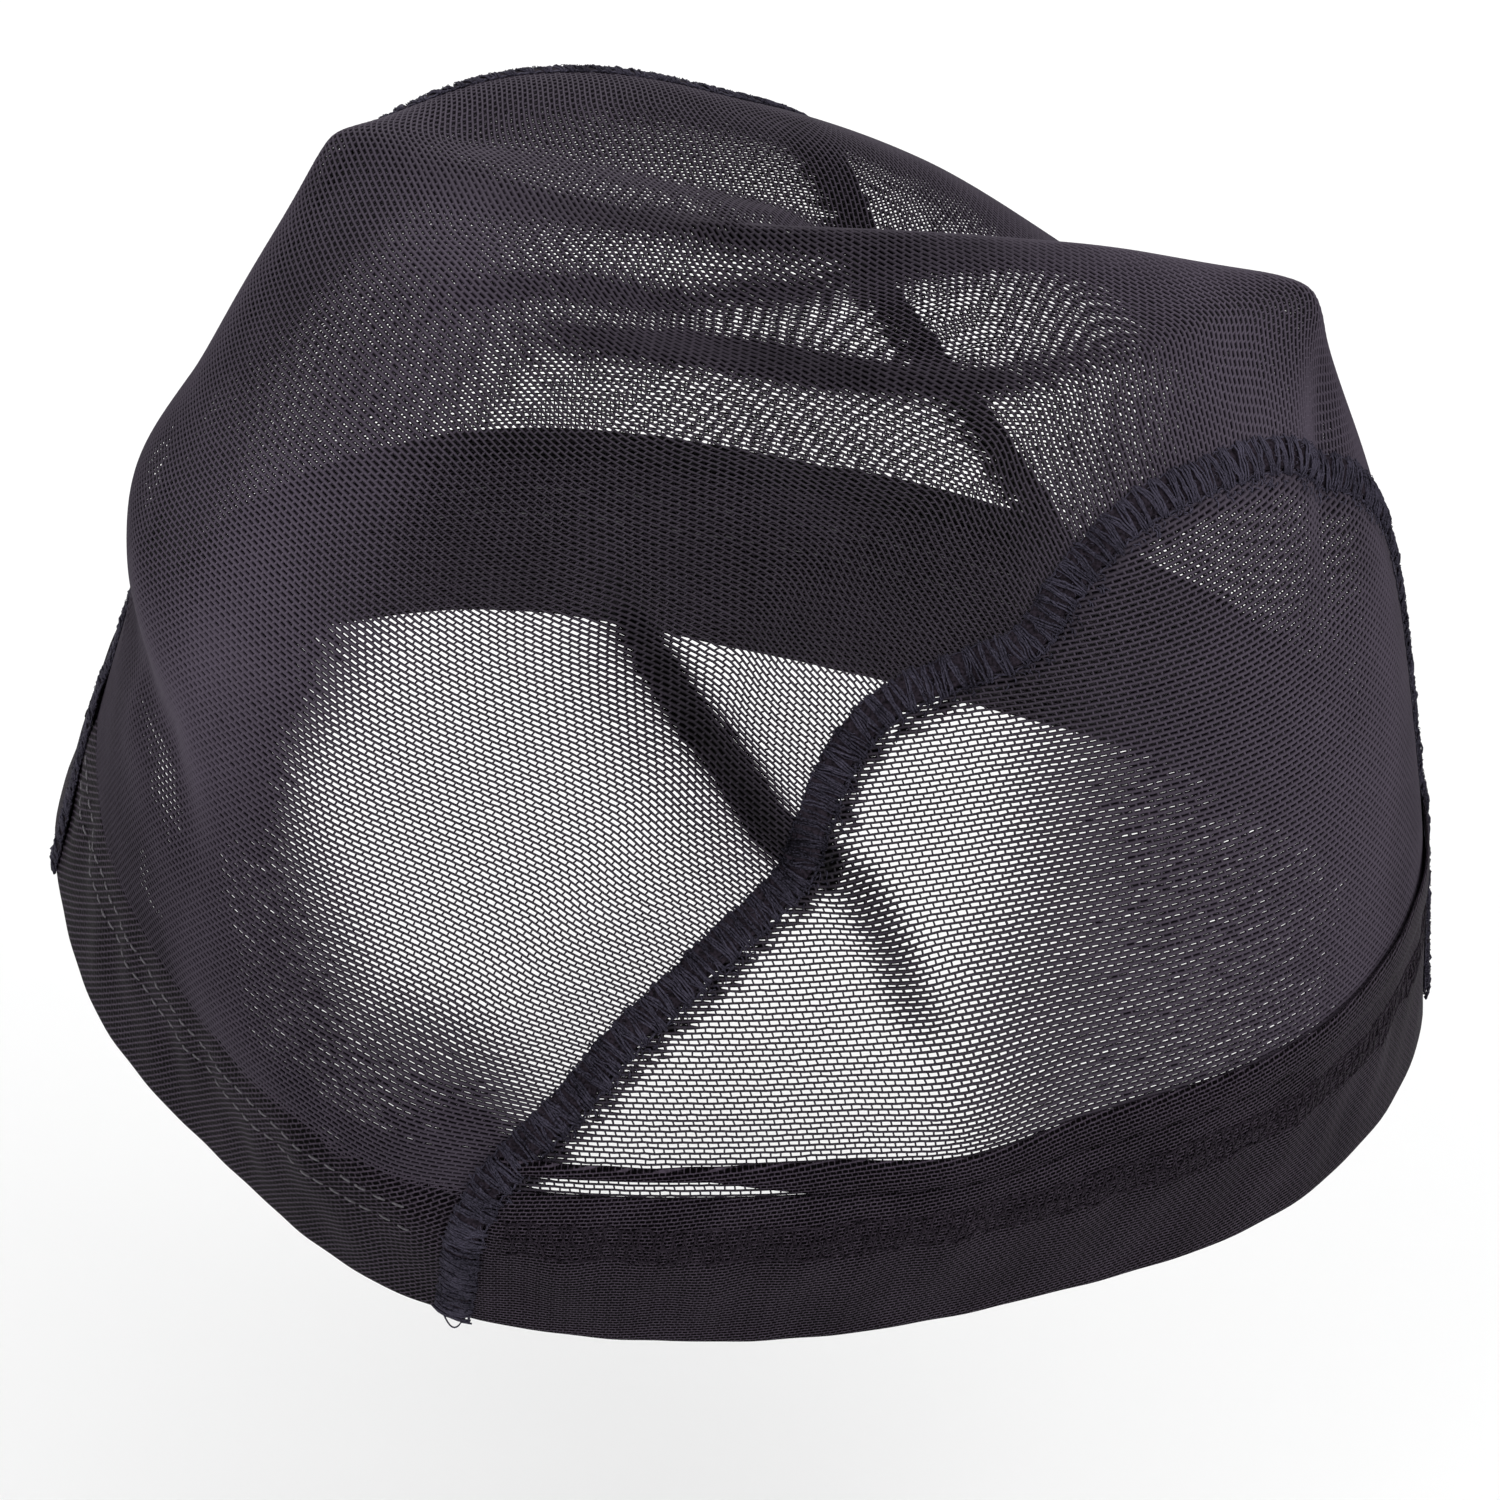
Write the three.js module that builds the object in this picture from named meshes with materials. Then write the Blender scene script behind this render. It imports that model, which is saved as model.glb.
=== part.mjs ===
import * as THREE from 'three';

// Stretch-net wig cap, held open over a head: crown strip, two side panels, doubled hems, two
// overlocked seams. Millimetres, +Z to the crown, origin at the centre of the opening, hem level.

const netThick = 1.0;
const hemThick = 1.8;
const hemWidth = 35;
const pieceGap = 0.3;
const seamWidth = 7.2;
const seamHeight = 1.8;
const seamLift = 0.65;
const seamRise = 9;
const apexZ = 149;
const foldCentreZ = 60;

const alongStations = 48;
const acrossCrown = 18;
const acrossSide = 12;
const acrossHem = 4;
const hemStep = 7.5;

// Upright sections round the cap: azimuth from +X in degrees, then radius and height at the
// lower edge, the belly, the shoulder and the crown.
const columns = ['az', 'hemR', 'hemZ', 'bellyR', 'bellyZ', 'shoulderR', 'shoulderZ', 'crownR', 'crownZ'];
const sections = [
  [0, 118, 2, 114, 52, 102, 110, 82, 136],
  [30, 102, 4, 101, 58, 89, 104, 58, 128],
  [60, 90, 4, 95, 60, 84, 110, 48, 141],
  [90, 94, 6, 98, 62, 83, 117, 46, 148],
  [120, 116, 10, 108, 64, 86, 120, 52, 154],
  [150, 132, 10, 110, 62, 88, 114, 57, 157],
  [180, 114, 3, 104, 60, 92, 110, 62, 151],
  [210, 99, 0, 103, 48, 89, 102, 50, 147],
  [240, 100, 0, 107, 32, 80, 78, 40, 126],
  [270, 96, 0, 102, 32, 70, 78, 34, 119],
  [300, 98, 0, 104, 34, 78, 84, 40, 123],
  [330, 112, 0, 115, 42, 99, 95, 62, 131],
];

// Folds and dents pulled into the cloth: half width, height outwards, and a path of azimuth and
// level, where level is 0 at the lower edge and 1 at the apex.
const folds = [
  {
    name: 'taut ridge',
    width: 11,
    height: 2.5,
    path: [[164, 0.71], [176, 0.88], [330, 0.98], [4, 0.88], [4, 0.72], [2, 0.61]],
  },
  { name: 'valley behind ridge', width: 10, height: -5, path: [[154, 0.8], [90, 0.915], [24, 0.78]] },
  { name: 'left top corner', width: 11, height: 2.5, path: [[163, 0.7]] },
  { name: 'right top corner', width: 11, height: 5, path: [[1, 0.6]] },
  { name: 'upper fold', width: 6, height: -2.5, path: [[208, 0.74], [218, 0.87], [323, 0.93], [354, 0.81]] },
  { name: 'lower fold', width: 7, height: 3, path: [[220, 0.8], [253, 0.865], [318, 0.8], [337, 0.7]] },
  { name: 'pleat', width: 7, height: 3, path: [[238, 0.75], [254, 0.63], [278, 0.475], [292, 0.32]] },
  { name: 'right crease', width: 6, height: -3, path: [[0, 0.585], [352, 0.545], [343, 0.485], [338, 0.45]] },
  { name: 'left crease', width: 8, height: -4, path: [[172, 0.3], [189, 0.35], [201, 0.345], [213, 0.29]] },
  { name: 'left bulge', width: 14, height: 3.5, path: [[168, 0.42], [190, 0.45]] },
  { name: 'left pull', width: 11, height: 2.5, path: [[229, 0.275], [224, 0.505], [211, 0.74]] },
  { name: 'left low push', width: 13, height: 3, path: [[240, 0.22]] },
  { name: 'right low push', width: 13, height: 3, path: [[291, 0.245]] },
];

// Seam lines: azimuth where each end crosses the lower edge and the top of the hem, then the
// path over the cap between the two hems.
const seams = {
  left: {
    frontFoot: 243,
    frontTop: 248.5,
    backTop: 359,
    backFoot: 357,
    path: [
      [254, 0.255], [261, 0.335], [269, 0.397], [277, 0.448], [280, 0.49], [285, 0.54], [293, 0.577],
      [303, 0.584], [311, 0.588], [318, 0.612], [326, 0.625], [334, 0.615], [342, 0.585],
      [350, 0.52], [358, 0.4],
    ],
  },
  right: {
    frontFoot: 168,
    frontTop: 166,
    backTop: 52,
    backFoot: 46,
    path: [
      [160, 0.4], [156, 0.56], [150, 0.68], [130, 0.735], [106, 0.75], [87, 0.73], [80, 0.63],
      [77, 0.51], [74, 0.405], [65, 0.31],
    ],
  },
};

const rad = Math.PI / 180;

// Section values at any azimuth, smoothly between neighbouring rows.
function sectionAt(azimuth) {
  const count = sections.length;
  const turn = ((azimuth % 360) + 360) % 360;
  const place = turn / (360 / count);
  const index = Math.floor(place);
  const f = place - index;
  const rows = [-1, 0, 1, 2].map((k) => sections[(index + k + count) % count]);
  const values = {};
  columns.forEach((column, n) => {
    const [a, b, c, d] = rows.map((row) => row[n]);
    const linear = (c - a) * f;
    const square = (2 * a - 5 * b + 4 * c - d) * f * f;
    const cube = (3 * b - a - 3 * c + d) * f * f * f;
    values[column] = 0.5 * (2 * b + linear + square + cube);
  });
  return values;
}

// Knots of one upright section as radius and height, carried a little past the apex.
function sectionKnots(azimuth) {
  const near = sectionAt(azimuth);
  const past = sectionAt(azimuth + 180);
  const radius = [near.hemR, near.bellyR, near.shoulderR, near.crownR, 0, -past.crownR];
  const height = [near.hemZ, near.bellyZ, near.shoulderZ, near.crownZ, apexZ, past.crownZ];
  const length = [0];
  for (let k = 1; k < radius.length; k += 1) {
    const step = Math.hypot(radius[k] - radius[k - 1], height[k] - height[k - 1]);
    length.push(length[k - 1] + step);
  }
  return { radius, height, length };
}

function sectionLength(azimuth) {
  return sectionKnots(azimuth).length[4];
}

// Smooth cap without folds.
function basePoint(azimuth, level) {
  const knots = sectionKnots(azimuth);
  const along = level * knots.length[4];
  let k = 0;
  while (k < 3 && along >= knots.length[k + 1]) {
    k += 1;
  }
  const span = knots.length[k + 1] - knots.length[k];
  const u = (along - knots.length[k]) / span;
  const slope = (list, index) => {
    const lo = Math.max(index - 1, 0);
    const hi = Math.min(index + 1, 5);
    return ((list[hi] - list[lo]) / (knots.length[hi] - knots.length[lo])) * span;
  };
  const blend = (list) => {
    const start = (2 * u ** 3 - 3 * u ** 2 + 1) * list[k] + (u ** 3 - 2 * u ** 2 + u) * slope(list, k);
    const end = (3 * u ** 2 - 2 * u ** 3) * list[k + 1] + (u ** 3 - u ** 2) * slope(list, k + 1);
    return start + end;
  };
  const radius = blend(knots.radius);
  return new THREE.Vector3(
    radius * Math.cos(azimuth * rad),
    radius * Math.sin(azimuth * rad),
    blend(knots.height),
  );
}

const foldLines = folds.map((fold) => ({
  width: fold.width,
  height: fold.height,
  points: fold.path.map(([azimuth, level]) => basePoint(azimuth, level)),
}));
const foldCentre = new THREE.Vector3(0, 0, foldCentreZ);

function distanceToPath(point, points) {
  if (points.length === 1) {
    return point.distanceTo(points[0]);
  }
  const nearest = new THREE.Vector3();
  let least = Infinity;
  for (let k = 0; k + 1 < points.length; k += 1) {
    new THREE.Line3(points[k], points[k + 1]).closestPointToPoint(point, true, nearest);
    least = Math.min(least, nearest.distanceTo(point));
  }
  return least;
}

// Flat map of the cap: a unit disc, apex in the middle, lower edge on the rim.
function toDisc(azimuth, level) {
  const reach = 1 - level;
  return new THREE.Vector2(reach * Math.cos(azimuth * rad), reach * Math.sin(azimuth * rad));
}

// Middle of the cloth at a place on the flat map.
function clothPoint(place) {
  const azimuth = Math.atan2(place.y, place.x) / rad;
  const point = basePoint(azimuth, 1 - place.length());
  let push = 0;
  for (const fold of foldLines) {
    const apart = distanceToPath(point, fold.points) / fold.width;
    push += fold.height * Math.exp(-(apart ** 1.6));
  }
  const outward = point.clone().sub(foldCentre).normalize();
  return point.addScaledVector(outward, push);
}

function clothFrame(place) {
  const step = 0.006;
  const east = clothPoint(place.clone().add(new THREE.Vector2(step, 0)));
  east.sub(clothPoint(place.clone().add(new THREE.Vector2(-step, 0))));
  const north = clothPoint(place.clone().add(new THREE.Vector2(0, step)));
  north.sub(clothPoint(place.clone().add(new THREE.Vector2(0, -step))));
  const normal = new THREE.Vector3().crossVectors(east, north).normalize();
  return { point: clothPoint(place), normal };
}

// Closed wall over a grid of places on the flat map.
function clothWall(name, grid, thick, material) {
  const rows = grid.length;
  const cols = grid[0].length;
  const positions = [];
  for (const side of [0.5, -0.5]) {
    for (const row of grid) {
      for (const place of row) {
        const { point, normal } = clothFrame(place);
        point.addScaledVector(normal, side * thick);
        positions.push(point.x, point.y, point.z);
      }
    }
  }
  const inner = rows * cols;
  const id = (r, c) => r * cols + c;
  const index = [];
  for (let r = 0; r + 1 < rows; r += 1) {
    for (let c = 0; c + 1 < cols; c += 1) {
      const [a, b, d, e] = [id(r, c), id(r, c + 1), id(r + 1, c + 1), id(r + 1, c)];
      index.push(a, b, d, a, d, e);
      index.push(inner + a, inner + d, inner + b, inner + a, inner + e, inner + d);
    }
  }
  const rim = [];
  for (let c = 0; c + 1 < cols; c += 1) {
    rim.push([id(0, c), id(0, c + 1)]);
    rim.push([id(rows - 1, c + 1), id(rows - 1, c)]);
  }
  for (let r = 0; r + 1 < rows; r += 1) {
    rim.push([id(r, cols - 1), id(r + 1, cols - 1)]);
    rim.push([id(r + 1, 0), id(r, 0)]);
  }
  for (const [a, b] of rim) {
    index.push(a, inner + a, inner + b, a, inner + b, b);
  }
  return solid(name, positions, index, material);
}

// A solid whose faces are turned outwards whichever way its grid ran.
function solid(name, positions, index, material) {
  const corner = [new THREE.Vector3(), new THREE.Vector3(), new THREE.Vector3()];
  let volume = 0;
  for (let k = 0; k < index.length; k += 3) {
    corner.forEach((v, n) => v.fromArray(positions, index[k + n] * 3));
    volume += corner[0].dot(corner[1].clone().cross(corner[2]));
  }
  const faces = volume > 0 ? index : index.slice().reverse();
  const geometry = new THREE.BufferGeometry();
  geometry.setAttribute('position', new THREE.Float32BufferAttribute(positions, 3));
  geometry.setIndex(faces);
  geometry.computeVertexNormals();
  const mesh = new THREE.Mesh(geometry, material);
  mesh.name = name;
  return mesh;
}

function hemLevel(azimuth, width = hemWidth) {
  return width / sectionLength(azimuth);
}

// Even stations along a seam between its two hem tops, as places on the flat map.
function seamStations(seam, count) {
  const rows = [
    [seam.frontTop, hemLevel(seam.frontTop)],
    ...seam.path,
    [seam.backTop, hemLevel(seam.backTop)],
  ];
  const knots = rows.map(([azimuth, level]) => {
    const place = toDisc(azimuth, level);
    return new THREE.Vector3(place.x, place.y, 0);
  });
  const curve = new THREE.CatmullRomCurve3(knots, false, 'centripetal');
  const fine = curve.getPoints(count * 8).map((p) => new THREE.Vector2(p.x, p.y));
  const walk = [0];
  for (let k = 1; k < fine.length; k += 1) {
    walk.push(walk[k - 1] + clothPoint(fine[k]).distanceTo(clothPoint(fine[k - 1])));
  }
  const total = walk[walk.length - 1];
  const stations = [];
  let at = 0;
  for (let n = 0; n <= count; n += 1) {
    const want = (total * n) / count;
    while (at + 2 < walk.length && walk[at + 1] < want) {
      at += 1;
    }
    const f = Math.min(Math.max((want - walk[at]) / (walk[at + 1] - walk[at]), 0), 1);
    stations.push(fine[at].clone().lerp(fine[at + 1], f));
  }
  return stations;
}

const leftLine = seamStations(seams.left, alongStations);
const rightLine = seamStations(seams.right, alongStations);

// Share of the way between two places that covers half the gap between pieces.
function trim(a, b) {
  return pieceGap / 2 / clothPoint(a).distanceTo(clothPoint(b));
}

// Distance of the hem top from the middle of the flat map, in the direction of a place.
function hemTopReach(place) {
  return 1 - hemLevel(Math.atan2(place.y, place.x) / rad);
}

// Crown strip: rows from hem top to hem top, columns from one seam to the other.
function crownGrid() {
  const grid = [];
  for (let n = 0; n <= alongStations; n += 1) {
    const share = n / alongStations;
    const bow = Math.max(1 - share / 0.36, 1 - (1 - share) / 0.36, 0) ** 1.5;
    const a = leftLine[n];
    const b = rightLine[n];
    const aboveA = hemTopReach(a) - a.length();
    const aboveB = hemTopReach(b) - b.length();
    const cut = trim(a, b);
    const row = [];
    for (let c = 0; c <= acrossCrown; c += 1) {
      const w = cut + ((1 - 2 * cut) * c) / acrossCrown;
      const place = a.clone().lerp(b, w);
      const reach = hemTopReach(place) - aboveA * (1 - w) - aboveB * w;
      const stretch = 1 + bow * (reach / place.length() - 1);
      row.push(place.multiplyScalar(stretch));
    }
    grid.push(row);
  }
  const lift = pieceGap / 2 / sectionLength(200);
  for (const row of [grid[0], grid[alongStations]]) {
    row.forEach((place) => place.setLength(place.length() - lift));
  }
  return grid;
}

// Azimuth of a place, carried on from a nearby azimuth so that it does not jump.
function azimuthNear(place, guide) {
  const azimuth = Math.atan2(place.y, place.x) / rad;
  return azimuth + 360 * Math.round((guide - azimuth) / 360);
}

// Side panel: rows along its seam, columns from the seam down to the hem top.
function sideGrid(line, start, end) {
  const grid = [];
  let guide = start;
  for (let n = 1; n < alongStations; n += 1) {
    const share = n / alongStations;
    guide = azimuthNear(line[n], guide);
    const foot = start + (end - start) * share;
    const footLevel = hemLevel(foot, hemWidth + pieceGap / 2);
    const seamLevel = 1 - line[n].length();
    const drop = Math.max((seamLevel - footLevel) * sectionLength(foot), 1);
    const aside = Math.hypot(drop, (foot - guide) * rad * 100);
    const cut = pieceGap / 2 / aside;
    const row = [];
    for (let c = 0; c <= acrossSide; c += 1) {
      const w = cut + ((1 - cut) * c) / acrossSide;
      row.push(toDisc(guide + (foot - guide) * w, seamLevel + (footLevel - seamLevel) * w));
    }
    grid.push(row);
  }
  return grid;
}

// Hem band between two slanting ends, each given at the lower edge and at the hem top.
function hemGrid(startFoot, startTop, endFoot, endTop) {
  const turn = Math.abs(endTop - startTop);
  const cols = Math.round((turn * rad * 108) / hemStep);
  const cut = (pieceGap / 2 / 108 / rad) * Math.sign(endTop - startTop);
  const grid = [];
  for (let r = 0; r <= acrossHem; r += 1) {
    const up = r / acrossHem;
    const from = startFoot + (startTop - startFoot) * up + cut;
    const to = endFoot + (endTop - endFoot) * up - cut;
    const row = [];
    for (let c = 0; c <= cols; c += 1) {
      const azimuth = from + ((to - from) * c) / cols;
      row.push(toDisc(azimuth, hemLevel(azimuth, up * (hemWidth - pieceGap / 2))));
    }
    grid.push(row);
  }
  return grid;
}

// Overlocked ridge that lies on the joint from lower edge to lower edge.
function seamRidge(name, seam, line, material) {
  const footSteps = 5;
  const places = [];
  for (let k = 0; k < footSteps; k += 1) {
    const up = k / footSteps;
    const azimuth = seam.frontFoot + (seam.frontTop - seam.frontFoot) * up;
    places.push(toDisc(azimuth, hemLevel(azimuth, up * hemWidth)));
  }
  places.push(...line);
  for (let k = footSteps - 1; k >= 0; k -= 1) {
    const up = k / footSteps;
    const azimuth = seam.backFoot + (seam.backTop - seam.backFoot) * up;
    places.push(toDisc(azimuth, hemLevel(azimuth, up * hemWidth)));
  }
  const shape = [[-0.5, 0], [0, 0], [0.5, 0], [0.42, 0.7], [0, 1], [-0.42, 0.7]];
  const positions = [];
  const last = places.length - 1;
  places.forEach((place, k) => {
    const ahead = places[Math.min(k + 1, last)].clone().sub(places[Math.max(k - 1, 0)]);
    const sideways = new THREE.Vector2(-ahead.y, ahead.x).normalize().multiplyScalar(0.01);
    const reach = clothPoint(place.clone().add(sideways)).distanceTo(clothPoint(place));
    const azimuth = Math.atan2(place.y, place.x) / rad;
    const aboveHem = (1 - place.length()) * sectionLength(azimuth) - hemWidth;
    const onNet = THREE.MathUtils.smoothstep(aboveHem, 1, seamRise);
    const lift = seamLift + hemThick / 2 + (onNet * (netThick - hemThick)) / 2;
    for (const [across, up] of shape) {
      const offset = sideways.clone().multiplyScalar((across * seamWidth) / reach);
      const { point, normal } = clothFrame(place.clone().add(offset));
      point.addScaledVector(normal, lift + up * seamHeight);
      positions.push(point.x, point.y, point.z);
    }
  });
  const sides = shape.length;
  const index = [];
  for (let k = 0; k < last; k += 1) {
    for (let c = 0; c < sides; c += 1) {
      const next = (c + 1) % sides;
      const [a, b] = [k * sides + c, k * sides + next];
      index.push(a, b, b + sides, a, b + sides, a + sides);
    }
  }
  for (let c = 1; c + 1 < sides; c += 1) {
    index.push(0, c + 1, c);
    index.push(last * sides, last * sides + c, last * sides + c + 1);
  }
  return solid(name, positions, index, material);
}

const netCloth = new THREE.MeshStandardMaterial({ color: 0x3a343b, roughness: 0.8, metalness: 0 });
const hemCloth = new THREE.MeshStandardMaterial({ color: 0x2b282e, roughness: 0.85, metalness: 0 });
const seamThread = new THREE.MeshStandardMaterial({ color: 0x2e2c36, roughness: 0.75, metalness: 0 });

const { left, right } = seams;
const backFoot = left.backFoot - 360;
const backTop = left.backTop - 360;
const walls = [
  ['crown_panel', crownGrid(), netThick, netCloth],
  ['left_panel', sideGrid(leftLine, left.frontTop, left.backTop), netThick, netCloth],
  ['right_panel', sideGrid(rightLine, right.frontTop, right.backTop), netThick, netCloth],
  ['front_hem', hemGrid(right.frontFoot, right.frontTop, left.frontFoot, left.frontTop), hemThick, hemCloth],
  ['left_hem', hemGrid(left.frontFoot, left.frontTop, left.backFoot, left.backTop), hemThick, hemCloth],
  ['back_hem', hemGrid(backFoot, backTop, right.backFoot, right.backTop), hemThick, hemCloth],
  ['right_hem', hemGrid(right.backFoot, right.backTop, right.frontFoot, right.frontTop), hemThick, hemCloth],
];
const cap = new THREE.Group();
cap.name = 'mesh_dome_wig_cap';
for (const [name, grid, thick, material] of walls) {
  cap.add(clothWall(name, grid, thick, material));
}
cap.add(seamRidge('left_seam', left, leftLine, seamThread));
cap.add(seamRidge('right_seam', right, rightLine, seamThread));

export default cap;
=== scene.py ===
import bpy
import math
import numpy as np
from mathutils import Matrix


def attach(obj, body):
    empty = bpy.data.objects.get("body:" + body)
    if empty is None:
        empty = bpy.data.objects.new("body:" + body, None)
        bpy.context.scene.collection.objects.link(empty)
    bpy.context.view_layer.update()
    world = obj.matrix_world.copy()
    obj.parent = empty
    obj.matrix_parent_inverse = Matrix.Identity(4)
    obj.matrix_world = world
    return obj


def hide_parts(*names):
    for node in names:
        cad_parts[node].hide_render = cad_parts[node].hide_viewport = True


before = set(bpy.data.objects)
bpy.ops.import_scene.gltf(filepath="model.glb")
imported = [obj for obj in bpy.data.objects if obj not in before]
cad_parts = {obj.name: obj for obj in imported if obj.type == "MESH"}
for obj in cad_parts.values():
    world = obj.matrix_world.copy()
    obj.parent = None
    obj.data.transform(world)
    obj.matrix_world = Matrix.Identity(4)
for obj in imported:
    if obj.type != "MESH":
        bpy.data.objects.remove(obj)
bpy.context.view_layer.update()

mm = 0.001
chance = np.random.default_rng(11)

# the cap's form, in mm and degrees: sections and seams as in the solids, the folds a little sharper
capForm = {
    "apexZ": 149.0,
    "foldCentreZ": 60.0,
    "hemWidth": 35.0,
    # every 30 degrees from +X: hemR, hemZ, bellyR, bellyZ, shoulderR, shoulderZ, crownR, crownZ
    "sections": [
        (118, 2, 114, 52, 102, 110, 82, 136),
        (102, 4, 101, 58, 89, 104, 58, 128),
        (90, 4, 95, 60, 84, 110, 48, 141),
        (94, 6, 98, 62, 83, 117, 46, 148),
        (116, 10, 108, 64, 86, 120, 52, 154),
        (132, 10, 110, 62, 88, 114, 57, 157),
        (114, 3, 104, 60, 92, 110, 62, 151),
        (99, 0, 103, 48, 89, 102, 50, 147),
        (100, 0, 107, 32, 80, 78, 40, 126),
        (96, 0, 102, 32, 70, 78, 34, 119),
        (98, 0, 104, 34, 78, 84, 40, 123),
        (112, 0, 115, 42, 99, 95, 62, 131),
    ],
    # half width, height outwards, edge sharpness, fades at its ends, path of azimuths and levels
    "folds": {
        "taut ridge": (9, 2.8, 1.4, False, [
            (164, .71), (176, .88), (330, .98), (4, .88), (4, .72), (2, .61)]),
        "valley behind ridge": (10, -5, 1.6, False, [(154, .8), (90, .915), (24, .78)]),
        "left top corner": (11, 2.5, 1.4, False, [(163, .7)]),
        "right top corner": (11, 5, 1.4, False, [(1, .6)]),
        "upper fold": (5, -2.8, 1.8, True, [(208, .74), (218, .87), (323, .93), (354, .81)]),
        "lower fold": (5, 3.2, 1.8, True, [(220, .8), (253, .865), (318, .8), (337, .7)]),
        "pleat": (4.5, 3.4, 1.8, True, [(238, .75), (254, .63), (278, .475), (292, .32)]),
        "right crease": (5, -2.6, 1.9, True, [(0, .585), (352, .545), (343, .485), (338, .45)]),
        "left crease": (8, -3, 2.0, True, [(172, .3), (189, .35), (201, .345), (213, .29)]),
        "left bulge": (14, 3.5, 1.6, False, [(168, .42), (190, .45)]),
        "left pull": (10, 2.7, 1.8, True, [(229, .275), (224, .505), (211, .74)]),
        "left low push": (13, 3, 1.8, False, [(240, .22)]),
        "right low push": (13, 3, 1.8, False, [(291, .245)]),
    },
    "foldFade": 0.7,
    "seamStations": 600,
    # azimuths at the lower edge and at the hem top, then the path between the two hem tops
    "leftSeam": {
        "frontFoot": 243, "frontTop": 248.5, "backTop": 359, "backFoot": 357,
        "path": [(254, .255), (261, .335), (269, .397), (277, .448), (280, .49), (285, .54), (293, .577),
                 (303, .584), (311, .588), (318, .612), (326, .625), (334, .615), (342, .585),
                 (350, .52), (358, .4)],
    },
    "rightSeam": {
        "frontFoot": 168, "frontTop": 166, "backTop": 52, "backFoot": 46,
        "path": [(160, .4), (156, .56), (150, .68), (130, .735), (106, .75), (87, .73), (80, .63),
                 (77, .51), (74, .405), (65, .31)],
    },
}
sectionRows = np.array(capForm["sections"], float)


def unit(vectors):
    return vectors / np.maximum(np.linalg.norm(vectors, axis=-1, keepdims=True), 1e-9)


def softCurve(a, b, c, d, u):  # from b to c, with a before and d after them
    return 0.5 * (2 * b + (c - a) * u + (2 * a - 5 * b + 4 * c - d) * u**2 + (3 * b - a - 3 * c + d) * u**3)


def sectionAt(az):  # smooth between neighbouring rows of the table
    count = len(sectionRows)
    place = (np.asarray(az, float) % 360.0) / (360.0 / count)
    i = np.floor(place).astype(int)
    f = (place - i)[..., None]
    return softCurve(*(sectionRows[(i + k) % count] for k in (-1, 0, 1, 2)), f)


def sectionKnots(az):
    near, past = sectionAt(az), sectionAt(np.asarray(az, float) + 180.0)
    zero = np.zeros_like(near[..., 0])
    radius = np.stack([near[..., 0], near[..., 2], near[..., 4], near[..., 6], zero, -past[..., 6]], -1)
    height = np.stack([near[..., 1], near[..., 3], near[..., 5], near[..., 7], zero + capForm["apexZ"],
                       past[..., 7]], -1)
    steps = np.hypot(np.diff(radius), np.diff(height))
    return radius, height, np.concatenate([zero[..., None], np.cumsum(steps, -1)], -1)


def sectionLength(az):
    return sectionKnots(az)[2][..., 4]


def basePoints(az, level):  # the cap without its folds
    az, level = np.broadcast_arrays(np.asarray(az, float), np.asarray(level, float))
    radius, height, length = sectionKnots(az)
    along = level * length[..., 4]
    k = np.clip((along[..., None] >= length[..., 1:4]).sum(-1), 0, 3)

    def pick(table, index):
        return np.take_along_axis(table, index[..., None], -1)[..., 0]

    start, span = pick(length, k), pick(length, k + 1) - pick(length, k)
    u = (along - start) / span

    def slope(table, index):
        lo, hi = np.maximum(index - 1, 0), np.minimum(index + 1, 5)
        return (pick(table, hi) - pick(table, lo)) / (pick(length, hi) - pick(length, lo)) * span

    def blend(table):
        first = (2 * u**3 - 3 * u**2 + 1) * pick(table, k) + (u**3 - 2 * u**2 + u) * slope(table, k)
        return first + (3 * u**2 - 2 * u**3) * pick(table, k + 1) + (u**3 - u**2) * slope(table, k + 1)

    r = blend(radius)
    return np.stack([r * np.cos(np.radians(az)), r * np.sin(np.radians(az)), blend(height)], -1)


foldLines = [
    (width, height, edge, fades, np.array([basePoints(az, level) for az, level in path]))
    for width, height, edge, fades, path in capForm["folds"].values()
]


def pathDistance(points, line):  # distance from a line of points, and how far along it
    if len(line) == 1:
        return np.linalg.norm(points - line[0], axis=-1), np.full(points.shape[:-1], 0.5)
    lengths = np.linalg.norm(np.diff(line, axis=0), axis=1)
    least = np.full(points.shape[:-1], 1e9)
    where = np.zeros(points.shape[:-1])
    for n, (a, b) in enumerate(zip(line[:-1], line[1:])):
        share = np.clip(((points - a) @ (b - a)) / ((b - a) @ (b - a)), 0, 1)
        away = np.linalg.norm(points - a - share[..., None] * (b - a), axis=-1)
        where = np.where(away < least, (lengths[:n].sum() + share * lengths[n]) / lengths.sum(), where)
        least = np.minimum(least, away)
    return least, where


def toDisc(az, level):  # flat map of the cap: apex in the middle, lower edge on the unit rim
    az = np.radians(np.asarray(az, float))
    return np.stack([(1 - level) * np.cos(az), (1 - level) * np.sin(az)], -1)


def azimuthOf(disc):
    return np.degrees(np.arctan2(disc[..., 1], disc[..., 0]))


def capPoints(disc):
    points = basePoints(azimuthOf(disc), 1 - np.hypot(disc[..., 0], disc[..., 1]))
    push = np.zeros(points.shape[:-1])
    for width, height, edge, fades, line in foldLines:
        away, where = pathDistance(points, line)
        rise = height * np.exp(-((away / width) ** edge))
        push += rise * np.clip(np.sin(math.pi * where), 0, 1) ** capForm["foldFade"] if fades else rise
    outward = unit(points - np.array([0, 0, capForm["foldCentreZ"]]))
    return points + push[..., None] * outward


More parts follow.
